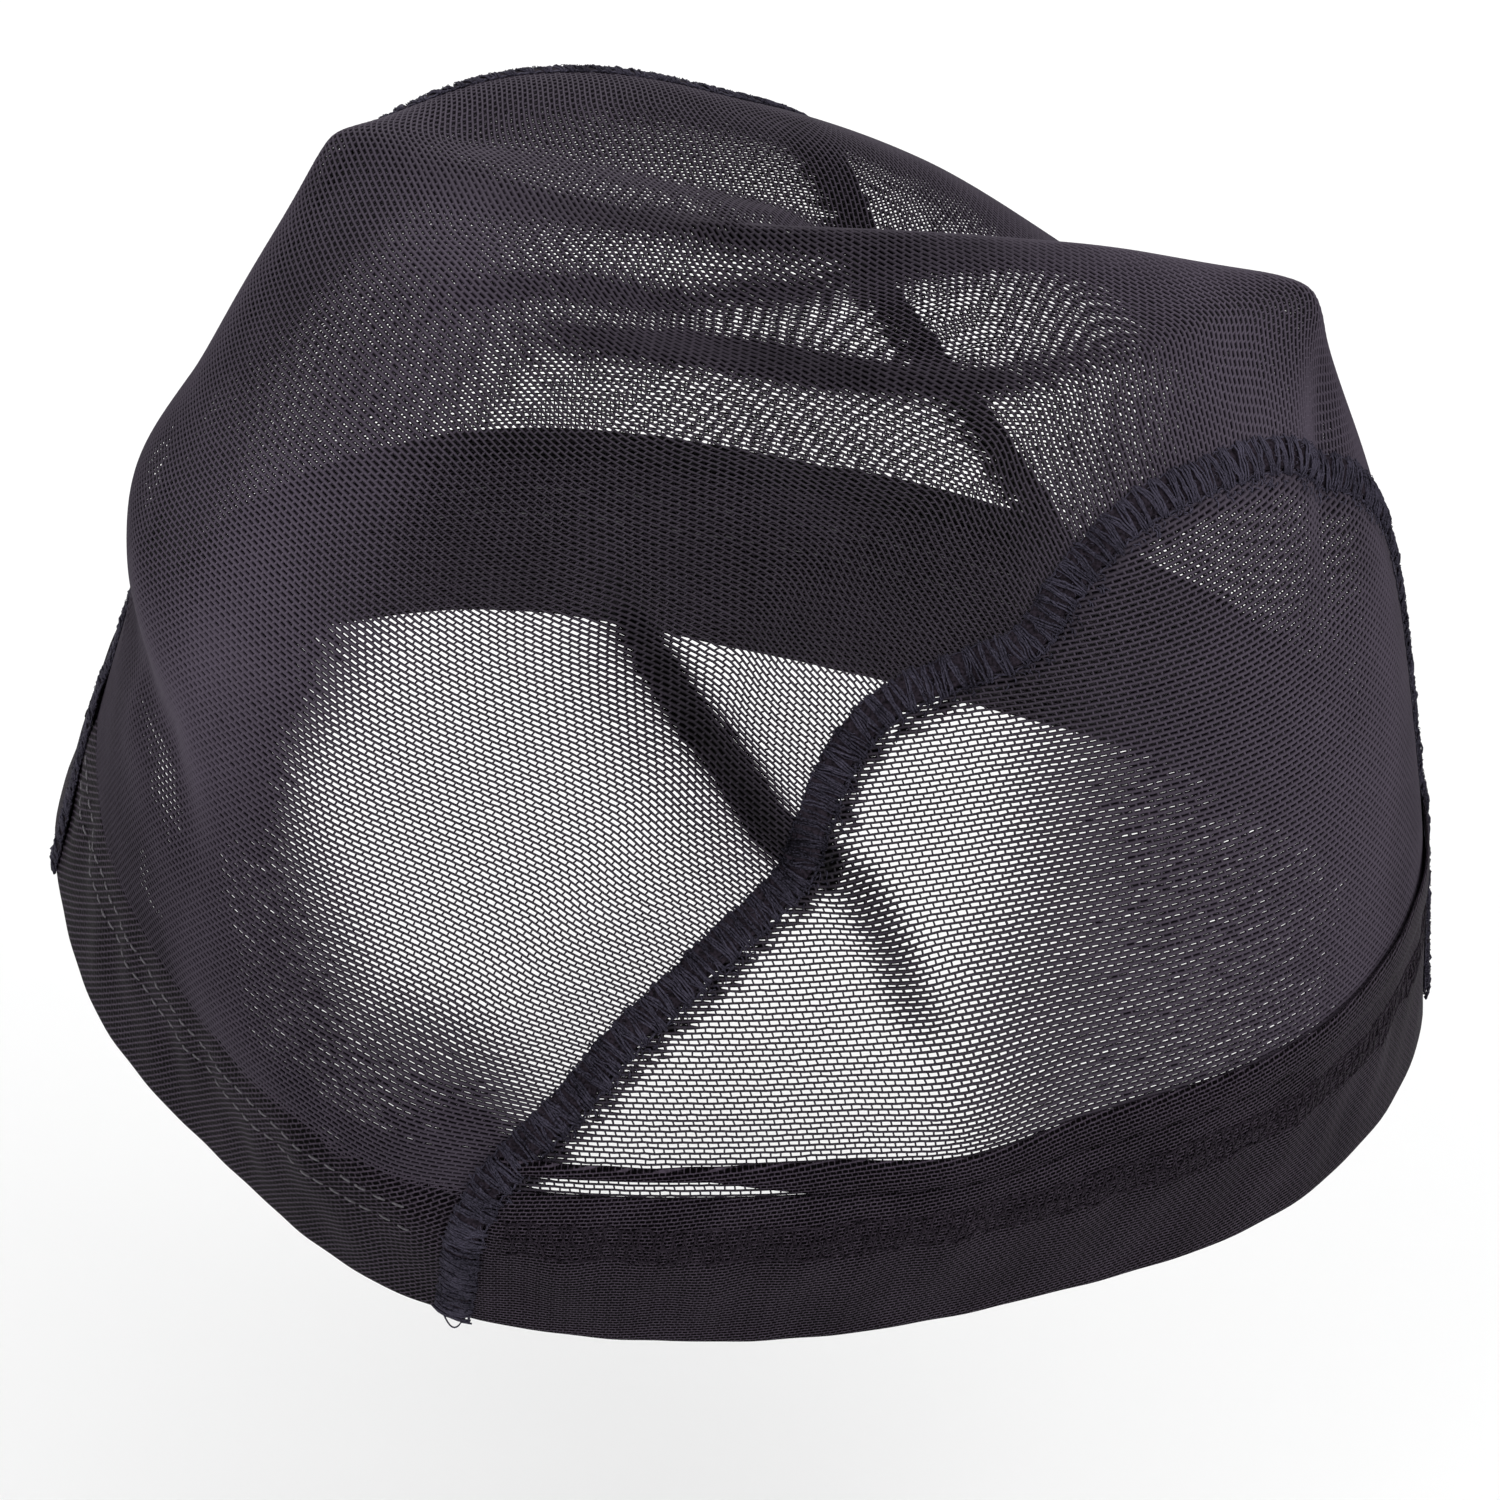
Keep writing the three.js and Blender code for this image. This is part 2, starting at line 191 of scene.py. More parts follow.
def capFrames(disc):  # points, normals and the two directions of the flat map
    step = 0.004  # of the disc's radius
    east = (capPoints(disc + [step, 0]) - capPoints(disc - [step, 0])) / (2 * step)
    north = (capPoints(disc + [0, step]) - capPoints(disc - [0, step])) / (2 * step)
    return capPoints(disc), unit(np.cross(east, north)), east, north


def hemLevel(az, width=capForm["hemWidth"]):
    return width / sectionLength(az)


def pathKnots(rows):  # a path on the flat map, with one more knot beyond each end
    knots = np.array([toDisc(az, level) for az, level in rows])
    return np.vstack([2 * knots[0] - knots[1], knots, 2 * knots[-1] - knots[-2]])


def measured(fine):  # a line on the flat map with its distances over the cap
    return fine, np.concatenate([[0], np.cumsum(np.linalg.norm(np.diff(capPoints(fine), axis=0), axis=1))])


def evenly(fine, count):  # the same line with its stations evenly spaced on the cap
    fine, walk = measured(fine)
    want = np.linspace(0, walk[-1], count)
    return np.stack([np.interp(want, walk, fine[:, n]) for n in (0, 1)], -1)


def seamLine(seam, count):  # even stations from hem top to hem top
    rows = [(seam["frontTop"], float(hemLevel(seam["frontTop"])))] + seam["path"]
    rows.append((seam["backTop"], float(hemLevel(seam["backTop"]))))
    knots = pathKnots(rows)
    u = np.linspace(0, 1, 40, endpoint=False)[:, None]  # stations between two rows of the path
    fine = []
    for p0, p1, p2, p3 in zip(knots[:-3], knots[1:-2], knots[2:-1], knots[3:]):
        d0, d1, d2 = (math.sqrt(np.linalg.norm(b - a)) for a, b in ((p0, p1), (p1, p2), (p2, p3)))
        t1 = ((p1 - p0) / d0 - (p2 - p0) / (d0 + d1) + (p2 - p1) / d1) * d1
        t2 = ((p2 - p1) / d1 - (p3 - p1) / (d1 + d2) + (p3 - p2) / d2) * d1
        fine.append(p1 + t1 * u + (3 * (p2 - p1) - 2 * t1 - t2) * u**2 + (2 * (p1 - p2) + t1 + t2) * u**3)
    return evenly(np.vstack(fine + [knots[-2:-1]]), count)


def meshPiece(name, verts, faces, material, flatMap=None, onPoints=None):
    mesh = bpy.data.meshes.new(name)
    mesh.from_pydata((np.asarray(verts) * mm).tolist(), [], [tuple(int(i) for i in f) for f in faces])
    if flatMap is not None:
        corner = np.zeros(len(mesh.loops), dtype=np.int32)
        mesh.loops.foreach_get("vertex_index", corner)
        layer = mesh.uv_layers.new(name="cloth")
        layer.data.foreach_set("uv", np.asarray(flatMap, np.float32)[corner].ravel())
    for key, values in (onPoints or {}).items():
        mesh.attributes.new(key, "FLOAT", "POINT").data.foreach_set("value", np.asarray(values, np.float32))
    mesh.polygons.foreach_set("use_smooth", [True] * len(mesh.polygons))
    mesh.materials.append(material)
    mesh.update()
    piece = bpy.data.objects.new(name, mesh)
    bpy.context.scene.collection.objects.link(piece)
    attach(piece, "root")
    mesh.calc_loop_triangles()
    print("piece", name, len(mesh.loop_triangles), "triangles")
    return piece


def hexColour(code):  # sRGB hex to linear
    parts = [int(code[k:k + 2], 16) / 255 for k in (1, 3, 5)]
    return [c / 12.92 if c <= 0.04045 else ((c + 0.055) / 1.055) ** 2.4 for c in parts] + [1.0]


def addNode(tree, kind, values=None, links=None):
    node = tree.nodes.new(kind)
    for key, value in (values or {}).items():
        if key == "stops":  # the two ends of a colour ramp
            for element, (position, code) in zip(node.color_ramp.elements, value):
                element.position = position
                element.color = hexColour(code)
        elif isinstance(key, int) or key in node.inputs:
            node.inputs[key].default_value = value
        else:
            setattr(node, key, value)
    for key, source in (links or {}).items():
        tree.links.new(source, node.inputs[key])
    return node


def newMaterial(name):
    material = bpy.data.materials.new(name)
    material.use_nodes = True
    material.node_tree.nodes.clear()
    return material, material.node_tree


def summed(tree, *parts):  # sources times their shares
    total = None
    for source, share in parts:
        links = {0: source} if total is None else {0: source, 2: total}
        settings = {"operation": "MULTIPLY_ADD", 1: share, 2: 0.0}
        total = addNode(tree, "ShaderNodeMath", settings, links).outputs[0]
    return total


def clothShade(tree, tone, stops, roughness, specular, sheen, tint, relief=None):  # tone picks the colour
    ramp = addNode(tree, "ShaderNodeValToRGB", {"stops": stops}, {"Fac": tone})
    links = {"Base Color": ramp.outputs["Color"]}
    if relief is not None:
        links["Normal"] = relief.outputs["Normal"]
    shade = addNode(tree, "ShaderNodeBsdfPrincipled", {
        "Roughness": roughness, "Specular IOR Level": specular, "Sheen Weight": sheen,
        "Sheen Roughness": 0.45, "Sheen Tint": hexColour(tint)}, links)
    addNode(tree, "ShaderNodeOutputMaterial", {}, {"Surface": shade.outputs[0]})


# knitted nylon and elastane power net: matt black yarn with a purple cast and a faint soft glint
netYarn, tree = newMaterial("knitted nylon power net")
place = addNode(tree, "ShaderNodeTexCoord").outputs["Object"]
cloud = addNode(tree, "ShaderNodeTexNoise", {"Scale": 1 / (9 * mm), "Detail": 3.0}, {"Vector": place})
fuzz = addNode(tree, "ShaderNodeTexNoise", {"Scale": 1 / (0.6 * mm), "Detail": 2.0}, {"Vector": place})
paintedCrestLight = addNode(tree, "ShaderNodeAttribute", {"attribute_name": "paintedCrestLight"})  # painted highlight along each yarn's crest, painted shade at its sides
paintedShading = addNode(tree, "ShaderNodeAttribute", {"attribute_name": "paintedShading"})  # painted light where the net is slack, painted shade in its folds
tone = summed(tree, (cloud.outputs["Fac"], 0.15), (fuzz.outputs["Fac"], 0.2),
              (paintedCrestLight.outputs["Fac"], 0.35), (paintedShading.outputs["Fac"], 1.0))
clothShade(tree, tone, [(0.15, "#060506"), (0.85, "#574f5c")],
           roughness=0.5, specular=0.06, sheen=0.0, tint="#8d8494")

# the same net folded double: the holes close up, so it reads as dense black cloth with fine courses
# its flat map counts rows of holes, drawn 0.7 to 1 mm wide where the real ones are about 0.5 mm
hemCloth, tree = newMaterial("doubled power net hem")
place = addNode(tree, "ShaderNodeUVMap", {"uv_map": "cloth"}).outputs[0]
underneath = addNode(tree, "ShaderNodeMapping", {"Rotation": (0, 0, 0.3), "Scale": (1.06, 1.05, 1)},
                     {"Vector": place})
yarns = []
for at in (place, underneath.outputs[0]):  # outer and inner layer
    brick = addNode(tree, "ShaderNodeTexBrick", {
        "Color1": (0, 0, 0, 1), "Color2": (0.2, 0.2, 0.2, 1), "Mortar": (1, 1, 1, 1), "Scale": 1.0,
        "Mortar Size": 0.18, "Mortar Smooth": 0.4, "Brick Width": 1.4, "Row Height": 1.0}, {"Vector": at})
    yarns.append(brick.outputs["Color"])
ribs = addNode(tree, "ShaderNodeTexWave", {  # one wave to a row
    "bands_direction": "Y", "Scale": math.pi / 10, "Phase Offset": math.pi}, {"Vector": place})
weave = summed(tree, (ribs.outputs["Fac"], 0.28), (yarns[0], 0.47), (yarns[1], 0.25))
cloud = addNode(tree, "ShaderNodeTexNoise", {"Scale": 1 / 20, "Detail": 3.0}, {"Vector": place})  # 20 rows
tone = summed(tree, (cloud.outputs["Fac"], 0.25), (weave, 0.8))
relief = addNode(tree, "ShaderNodeBump", {"Strength": 0.9, "Distance": 0.2 * mm}, {"Height": weave})
clothShade(tree, tone, [(0.38, "#030203"), (0.95, "#4a424d")],
           roughness=0.6, specular=0.015, sheen=0.0, tint="#7d7682", relief=relief)

# textured polyester overlock thread: bulky and soft, faintly blue, most of its fibres only as noise
seamThread, tree = newMaterial("textured polyester overlock thread")
place = addNode(tree, "ShaderNodeTexCoord").outputs["Object"]
fuzz = addNode(tree, "ShaderNodeTexNoise", {"Scale": 1 / (0.35 * mm), "Detail": 3.0}, {"Vector": place})
cloud = addNode(tree, "ShaderNodeTexNoise", {"Scale": 1 / (6 * mm), "Detail": 2.0}, {"Vector": place})
paintedShading = addNode(tree, "ShaderNodeAttribute", {"attribute_name": "paintedShading"})  # painted light and shade, taken from the net's slack and folds
tone = summed(tree, (cloud.outputs["Fac"], 0.35), (fuzz.outputs["Fac"], 0.65), (paintedShading.outputs["Fac"], 0.6))
relief = addNode(tree, "ShaderNodeBump", {"Strength": 0.8, "Distance": 0.2 * mm},
                 {"Height": fuzz.outputs["Fac"]})
clothShade(tree, tone, [(0.34, "#0b0a0f"), (0.74, "#524e5e")],
           roughness=0.6, specular=0.05, sheen=0.02, tint="#86839a", relief=relief)

# spun polyester needle thread: harder twist, so it shows as light dashes on the hem
needleThread, tree = newMaterial("spun polyester needle thread")
place = addNode(tree, "ShaderNodeTexCoord").outputs["Object"]
fuzz = addNode(tree, "ShaderNodeTexNoise", {"Scale": 1 / (0.4 * mm), "Detail": 2.0}, {"Vector": place})
clothShade(tree, fuzz.outputs["Fac"], [(0.3, "#3a373c"), (0.75, "#68646a")],
           roughness=0.5, specular=0.3, sheen=0.08, tint="#8a8690")

# textured nylon looper thread: soft and black, sunk into the hem; also drawn on the wrapped seams' cut
# edges, darker than the net, partly black thread and partly painted shade between the legs
looperThread, tree = newMaterial("textured nylon looper thread")
place = addNode(tree, "ShaderNodeTexCoord").outputs["Object"]
fuzz = addNode(tree, "ShaderNodeTexNoise", {"Scale": 1 / (0.5 * mm), "Detail": 3.0}, {"Vector": place})
clothShade(tree, fuzz.outputs["Fac"], [(0.3, "#0c0a0d"), (0.75, "#352e37")],
           roughness=0.6, specular=0.02, sheen=0.0, tint="#7d7a84")
print("materials made")

leftSeam, rightSeam = capForm["leftSeam"], capForm["rightSeam"]
leftLine, rightLine = (seamLine(seam, capForm["seamStations"]) for seam in (leftSeam, rightSeam))


def beside(path, along, aside):  # places at mm along and across a measured line
    fine, walk = path

    def at(where):
        return np.stack([np.interp(where, walk, fine[:, n]) for n in (0, 1)], -1)

    disc = at(along)
    reach = 1.5  # mm either way, for the line's direction
    turn = at(along + reach) - at(along - reach)
    points, normals, east, north = capFrames(disc)
    heading = unit(east * turn[..., :1] + north * turn[..., 1:])
    lateral = unit(np.cross(normals, heading))
    ee, en, nn = (np.sum(a * b, -1) for a, b in ((east, east), (east, north), (north, north)))
    le, ln = np.sum(lateral * east, -1), np.sum(lateral * north, -1)
    shift = np.stack([le * nn - ln * en, ln * ee - le * en], -1) / (ee * nn - en * en)[..., None]
    return disc + shift * aside[..., None]


# where the net is drawn out less its holes close up; the yarn also gets painted light on slack areas and
# painted shade in its folds half width in mm, how sharply it ends, painted light (plus) or painted shade
# (minus), rows of azimuth, level and added fullness
slack = {
    "pleat": (3.7, 2.5, -.11, [
        (240, .73, .1), (248, .68, .6), (254, .645, 1.4), (263, .59, 1.8), (270, .54, 1.8), (275, .49, 1.8),
        (279, .47, 1.4), (283, .45, 1.1), (285, .43, 1.1), (287, .39, .9), (288, .34, .6), (290, .3, .1)]),
    "slope beside pleat": (9, 2, -.09, [
        (244, .68, .1), (252, .64, .4), (260, .58, .4), (267, .53, .4), (272, .48, .3)]),
    "ridge": (4, 2, -.09, [
        (163, .72, .3), (176, .82, 1.1), (185, .91, 1.5), (339, .97, 1.5), (0, .82, 1.2), (1, .74, .6),
        (3, .6, .3)]),
    "second fold": (2.8, 2.4, -.08, [
        (205, .77, .1), (208, .81, .5), (217, .88, 1.0), (307, .94, 1.1), (345, .89, 1.0), (356, .82, .6),
        (1, .68, .2)]),
    "third fold": (3.3, 3, -.1, [
        (216, .79, .1), (220, .82, .7), (242, .87, 1.4), (287, .87, 1.7), (316, .81, 1.6), (328, .77, 1.3),
        (342, .72, .6), (353, .64, .1)]),
    "crown": (52, 3, .35, [(150, .84, .25), (250, .92, .1), (10, .8, .2)]),
    "back of top": (30, 2.4, -.1, [(140, .84, .35), (172, .8, .35), (196, .76, .2)]),
    "left of top": (12, 2.4, .15, [(186, .8, .5), (198, .8, .6), (203, .79, .4)]),
    "left shoulder": (38, 2.4, .3, [(178, .8, .3), (186, .62, .4), (200, .52, .2)]),
    "left of gap": (15, 4, .12, [(204, .74, .4), (209, .71, .7), (210, .66, .8), (207, .62, .3)]),
    "right of top": (15, 2.4, .15, [(0, .74, .2), (354, .68, .4), (347, .6, .4)]),
    "right shoulder": (34, 2.4, .4, [(2, .66, .3), (344, .56, .25), (338, .44, .2), (328, .3, .2)]),
    "left wall": (26, 3, .6, [(203, .52, .45), (210, .44, .3), (218, .36, .1)]),
    "left side": (17, 5, .06, [(213, .57, .6), (212, .53, 1.1), (212, .47, 1.2), (212, .42, .6)]),
    "left foot": (24, 5, .06, [
        (197, .35, 1.), (205, .36, 1.1), (213, .31, 1.3), (222, .235, 1.3), (230, .19, 1.2),
        (239, .2, 1.1)]),
    "right wall": (28, 2.4, .6, [(340, .44, .1), (336, .26, .1)]),
    "right foot": (39, 6, .06, [
        (334, .52, .7), (331, .47, 1.1), (326, .4, 1.2), (320, .3, 1.2), (313, .22, 1.1)]),
}


def smoothLine(rows, count):  # even stations on a soft curve through a path
    knots = pathKnots(rows)
    u = np.linspace(0, 1, 24, endpoint=False)[:, None]  # stations between two rows of the path
    fine = [softCurve(*four, u) for four in zip(knots[:-3], knots[1:-2], knots[2:-1], knots[3:])]
    return evenly(np.vstack(fine + [knots[-2:-1]]), count)


def widened(rows, count):  # even stations with the fullness at each
    line = smoothLine([row[:2] for row in rows], count)
    knots = np.array([toDisc(*row[:2]) for row in rows])
    at = [int(np.argmin(np.linalg.norm(line - knot, axis=1))) for knot in knots]
    return capPoints(line), np.interp(np.arange(count), at, [row[2] for row in rows])


slackStations = 40
slackLines = [(width, edge, shade) + widened(rows, slackStations)
              for width, edge, shade, rows in slack.values()]


def fullness(points):  # how many times its drawn-out width the yarn covers, and the painted light and shade of its colour
    full, paintedShading = np.ones(points.shape[:-1]), np.zeros(points.shape[:-1])
    for width, edge, shade, line, amount in slackLines:
        away, where = pathDistance(points, line)
        more = np.interp(where, np.linspace(0, 1, len(line)), amount) * np.exp(-((away / width) ** edge))
        full += more
        paintedShading += more * shade
    return full, paintedShading


# the net: straight courses of yarn with short links between them, set like bricks
# real holes are about 1.45 by 0.85 mm, drawn a little coarser
netForm = {
    "link": 1.58,  # mm from link to link along a course
    "course": 0.9,  # mm from course to course
    "yarnWidth": 0.38,
    "yarnThick": 0.28,
    "linkWidth": 0.29,
    "linkThick": 0.252,
    "jitter": 0.04,
    "shortEnd": 0.3,  # mm at the ends of a course without stations
    "endLink": 0.1,  # mm there without links
    "underHem": 5.4,  # mm that the net runs down between the hem's layers
    "bowed": 0.36,  # share of the strip at each hem where its courses bend to follow the hem
    "bowRate": 1.5,
    "crownStations": 130,
    "laneStations": 260,
    "sideStations": 240,
    "tallest": 150,  # mm, more than any side panel rises above its hem
    "besideSeam": 0.002,  # share of the strip's width that it stops short of a seam line
    "atSeam": 0.2,  # mm that a side net stops short of it
    "cutEdge": 5.7,  # mm beside a seam where the cut edges lie over the side net
    "cutEdgeStray": 0.5,
    "cutEdgeSharp": 8,
    "cutEdgeFull": 1.3,
    "cutEdgeRagged": 0.6,  # some needle holes stay open
    # painted shade where the cut edges lie layered over the side net
    "cutEdgePaintedShade": 0.08,
    "leastFull": 0.9,
}


def rings(points, normals, heading, wide, width, thick):  # three corners round each point of a yarn
    side = unit(np.cross(normals, heading)) * (width * wide / 2)[:, None]
    over = normals * (thick * (0.5 + 0.5 * wide))[:, None]
    return np.stack([points - over / 3 - side, points - over / 3 + side, points + over * 2 / 3], -2)


def knitNet(points, inside, full, paintedShading):  # courses along the rows of points, links between them
    normals = unit(np.cross(np.gradient(points, axis=1), np.gradient(points, axis=0)))
    if np.mean(np.sum(normals * (points - np.array([0, 0, capForm["foldCentreZ"]])), -1)) < 0:
        normals = -normals
    steps = np.linalg.norm(np.diff(points, axis=1), axis=-1)
    along = np.concatenate([np.zeros((len(points), 1)), np.cumsum(steps, 1)], 1)
    middle = points.shape[1] // 2
    along -= along[:, middle:middle + 1]
    runs = []  # the stretches of each course that lie inside the panel
    for k in range(len(points)):
        edge = np.flatnonzero(np.diff(np.concatenate([[0], inside[k].astype(int), [0]])))
        runs.append([(along[k, a], along[k, b - 1]) for a, b in zip(edge[::2], edge[1::2]) if b - a > 2])
    link, shortEnd, endLink = netForm["link"], netForm["shortEnd"], netForm["endLink"]
    rows = np.concatenate([points, normals, full[..., None], paintedShading[..., None]], -1)
    verts, faces, paintedShadings, paintedCrestLights = [], [], [], []
    total = 0

    def at(k, where):
        row = np.stack([np.interp(where, along[k], rows[k, :, n]) for n in range(rows.shape[-1])], -1)
        return row[:, :3], unit(row[:, 3:6]), row[:, 6], row[:, 7]

    for k in range(len(points)):
        half = link / 2 * (k % 2)
        sleeves = []  # corners, first corner of each wall, painted light and shade
        for lo, hi in runs[k]:
            inner = np.arange(math.ceil(lo / link), math.floor(hi / link) + 1) * link + half
            inner = inner[(inner > lo + shortEnd) & (inner < hi - shortEnd)]
            where = np.concatenate([[lo], inner, [hi]])
            spot, up, wide, light = at(k, where)
            heading = unit(np.gradient(spot, axis=0))
            spot = spot + np.cross(up, heading) * chance.normal(0, netForm["jitter"], (len(spot), 1))
            ring = rings(spot, up, heading, wide, netForm["yarnWidth"], netForm["yarnThick"])
            sleeves.append((ring, 3 * np.arange(len(spot) - 1), np.repeat(light, 3)))
            for lo2, hi2 in runs[k + 1] if k + 1 < len(points) else []:  # links up to the next course
                a, b = max(lo, lo2) + endLink - half, min(hi, hi2) - endLink - half
                where = np.arange(math.ceil(a / link), math.floor(b / link) + 1) * link + half
                if not len(where):
                    continue
                slip = chance.normal(0, netForm["jitter"], len(where))
                spot, up, wide, light = at(k, where + slip)
                spot2, up2, wide2, _ = at(k + 1, where - slip)
                heading = unit(spot2 - spot)
                size = netForm["linkWidth"], netForm["linkThick"]
                ring = np.concatenate([rings(spot, up, heading, wide, *size),
                                       rings(spot2, up2, heading, wide2, *size)], 1)
                sleeves.append((ring, 6 * np.arange(len(where)), np.repeat(light, 6)))
        for ring, first, light in sleeves:
            for a, b in ((0, 1), (1, 2), (2, 0)):  # the three walls of a yarn
                faces.append(total + np.stack([first + a, first + b, first + b + 3, first + a + 3], -1))
            verts.append(ring.reshape(-1, 3))
            paintedShadings.append(light)
            # painted highlight at the top corner of each ring, painted shade at its two lower corners
            paintedCrestLights.append(np.tile([0.0, 0.0, 1.0], len(light) // 3))
            total += len(verts[-1])
    onPoints = {"paintedShading": np.concatenate(paintedShadings), "paintedCrestLight": np.concatenate(paintedCrestLights)}
    return np.concatenate(verts), np.concatenate(faces), onPoints


def crownPlaces(share, across):  # rows from hem top to hem top, columns from left seam to right seam
    rows = []
    stations = np.linspace(0, 1, len(leftLine))
    for s in share:
        a = np.array([np.interp(s, stations, leftLine[:, n]) for n in (0, 1)])
        b = np.array([np.interp(s, stations, rightLine[:, n]) for n in (0, 1)])
        bow = max(1 - s / netForm["bowed"], 1 - (1 - s) / netForm["bowed"], 0) ** netForm["bowRate"]
        disc = a + (b - a) * across[:, None]
        ends = [1 - float(hemLevel(azimuthOf(p))) - np.hypot(*p) for p in (a, b)]
        reach = 1 - hemLevel(azimuthOf(disc)) - ends[0] * (1 - across) - ends[1] * across
        rows.append(disc * (1 + bow * (reach / np.hypot(disc[:, 0], disc[:, 1]) - 1))[:, None])
    return np.array(rows)


def crownCourses(across):  # the same lanes from hem to hem, cut into even courses
    lanes = crownPlaces(np.linspace(0, 1, netForm["laneStations"]), across)
    under = 6  # stations that the lanes run on at both ends
    lanes = np.concatenate([2 * lanes[:1] - lanes[under:under + 1], lanes,
                            2 * lanes[-1:] - lanes[-1 - under:-under]])
    steps = np.linalg.norm(np.diff(capPoints(lanes), axis=0), axis=-1)
    walk = np.concatenate([0 * steps[:1], np.cumsum(steps, 0)]) - steps[:1]
    length = walk[-2]
    spare = netForm["underHem"] / length.mean()
    share = np.arange(-spare, 1 + spare, netForm["course"] / length.mean())
    rows = np.zeros((len(share), len(across), 2))
    for j in range(len(across)):
        for n in (0, 1):
            rows[:, j, n] = np.interp(share * length[j], walk[:, j], lanes[:, j, n])
    print("crown strip", round(float(length.mean())), "mm over the top in", len(share), "courses")
    return rows


def sidePlaces(line, start, end):  # courses from the hem's top on, and which points lie below the seam
    az = np.linspace(start, end, netForm["sideStations"])
    lineAz = np.unwrap(azimuthOf(line), period=360)
    lineAz += 360 * round((start - lineAz[0]) / 360)
    level = 1 - np.hypot(line[:, 0], line[:, 1])
    order = np.argsort(lineAz)
    top = np.interp(az, lineAz[order], level[order])
    length = sectionLength(az)
    heights = np.arange(-netForm["underHem"], netForm["tallest"], netForm["course"])
    wanted = (capForm["hemWidth"] + heights[:, None]) / length[None, :]
    inside = wanted < (top - netForm["atSeam"] / length)[None, :]
    keep = inside.any(axis=1)
    return toDisc(az[None, :], wanted[keep]), inside[keep]


stop = netForm["besideSeam"]
rows = crownCourses(np.linspace(stop, 1 - stop, netForm["crownStations"]))
thirds = np.array_split(np.arange(len(rows)), 3)
for part, own in zip(("front", "top", "back"), thirds):
    own = np.append(own, own[-1] + 1) if own[-1] + 1 < len(rows) else own
    points = capPoints(rows[own])
    verts, faces, onPoints = knitNet(points, np.ones(points.shape[:2], bool), *fullness(points))
    meshPiece("crown_net_" + part, verts, faces, netYarn, onPoints=onPoints)
    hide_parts("crown_panel")
for side, seam, line in (("left", leftSeam, leftLine), ("right", rightSeam, rightLine)):
    disc, inside = sidePlaces(line, seam["frontTop"], seam["backTop"])
    points = capPoints(disc)
    away, _ = pathDistance(points, capPoints(line[::8]))  # every eighth station is near enough
    ragged = 1 + chance.normal(0, netForm["cutEdgeRagged"], away.shape)
    reach = netForm["cutEdge"] + chance.normal(0, netForm["cutEdgeStray"], away.shape)
    edging = netForm["cutEdgeFull"] * ragged * np.exp(-((away / reach) ** netForm["cutEdgeSharp"]))
    full, paintedShading = fullness(points)
    full = np.maximum(full + edging, netForm["leastFull"])
    # the cut edges beside a seam get painted shade
    verts, faces, onPoints = knitNet(points, inside, full, paintedShading - netForm["cutEdgePaintedShade"] * edging)
    meshPiece(side + "_net", verts, faces, netYarn, onPoints=onPoints)
    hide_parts(side + "_panel")
print("nets knitted")


def joined(groups):
    verts, faces, total = [], [], 0
    for v, f in groups:
        verts.append(v)
        faces += [tuple(int(i) + total for i in face) for face in f]
        total += len(v)
    return np.concatenate(verts), faces


def threadTubes(paths, ups, radius, sides=4, flat=1.0):  # closed tubes along rows of points
    heading = unit(np.gradient(paths, axis=1))
    side = unit(np.cross(ups, heading))
    over = np.cross(heading, side)
    count, length = paths.shape[:2]
    turn = (np.arange(sides)[:, None] + 0.5) * 2 * math.pi / sides
    spoke = side[:, :, None] * np.cos(turn) + flat * over[:, :, None] * np.sin(turn)
    ring = paths[:, :, None] + radius * spoke
    index = np.arange(count * length * sides).reshape(count, length, sides)
    faces = []
    for k in range(sides):
        a, b = index[:, :-1, k], index[:, :-1, (k + 1) % sides]
        c, d = index[:, 1:, (k + 1) % sides], index[:, 1:, k]
        faces += np.stack([a, b, c, d], -1).reshape(-1, 4).tolist()
    return ring.reshape(-1, 3), faces + index[:, 0, ::-1].tolist() + index[:, -1].tolist()


# hems: each panel's lower edge turned up double and stitched down in two rows
hemForm = {
    "half": 0.75,  # mm from the middle to the outside of a layer
    "inside": 0.3,  # mm from the middle to the inside of a layer
    "softHalf": 0.06,  # the same two where the panel has run on into its net
    "softInside": -0.09,
    "softFrom": 29.0,  # mm above the lower edge where it begins to
    "step": 2.2,  # mm between stations along the edge
    "lowRows": (1.2, 3, 6, 10, 14, 18, 21),  # mm above the lower edge, stations below the stitching
    "highRows": (30.8, 32.2, 33.5, 34.8),  # and above it
    "stitchRows": (22.8, 28.4),  # mm above the lower edge
    "besideStitch": (-0.8, 0, 0.8),  # mm, stations over a row
    "stitchEnds": (3, 4),  # mm without stitches at the two ends of a hem
    "groove": 0.1833,  # share of the half thickness that a row sinks
    "grooveWidth": 1.0,
    "ripple": 0.3,  # mm, drawn up by the stitching
    "ripples": [(31, 0.11, 0, 1), (53, -0.17, 1.3, 0.7)],  # number round the cap, lean, start, share
    "rippleFrom": 12,  # mm above the lower edge where they are full
    "rippleAtEdge": 0.25,
    "rippleEnds": 9,  # mm below the hem's top where they begin to die out
    "atSeam": 0.15,  # mm that a hem stops short of a seam line
    "radius": 105.0,  # mm, mean radius of the edge
}
degree = 180 / math.pi / hemForm["radius"]  # degrees to one mm along the edge


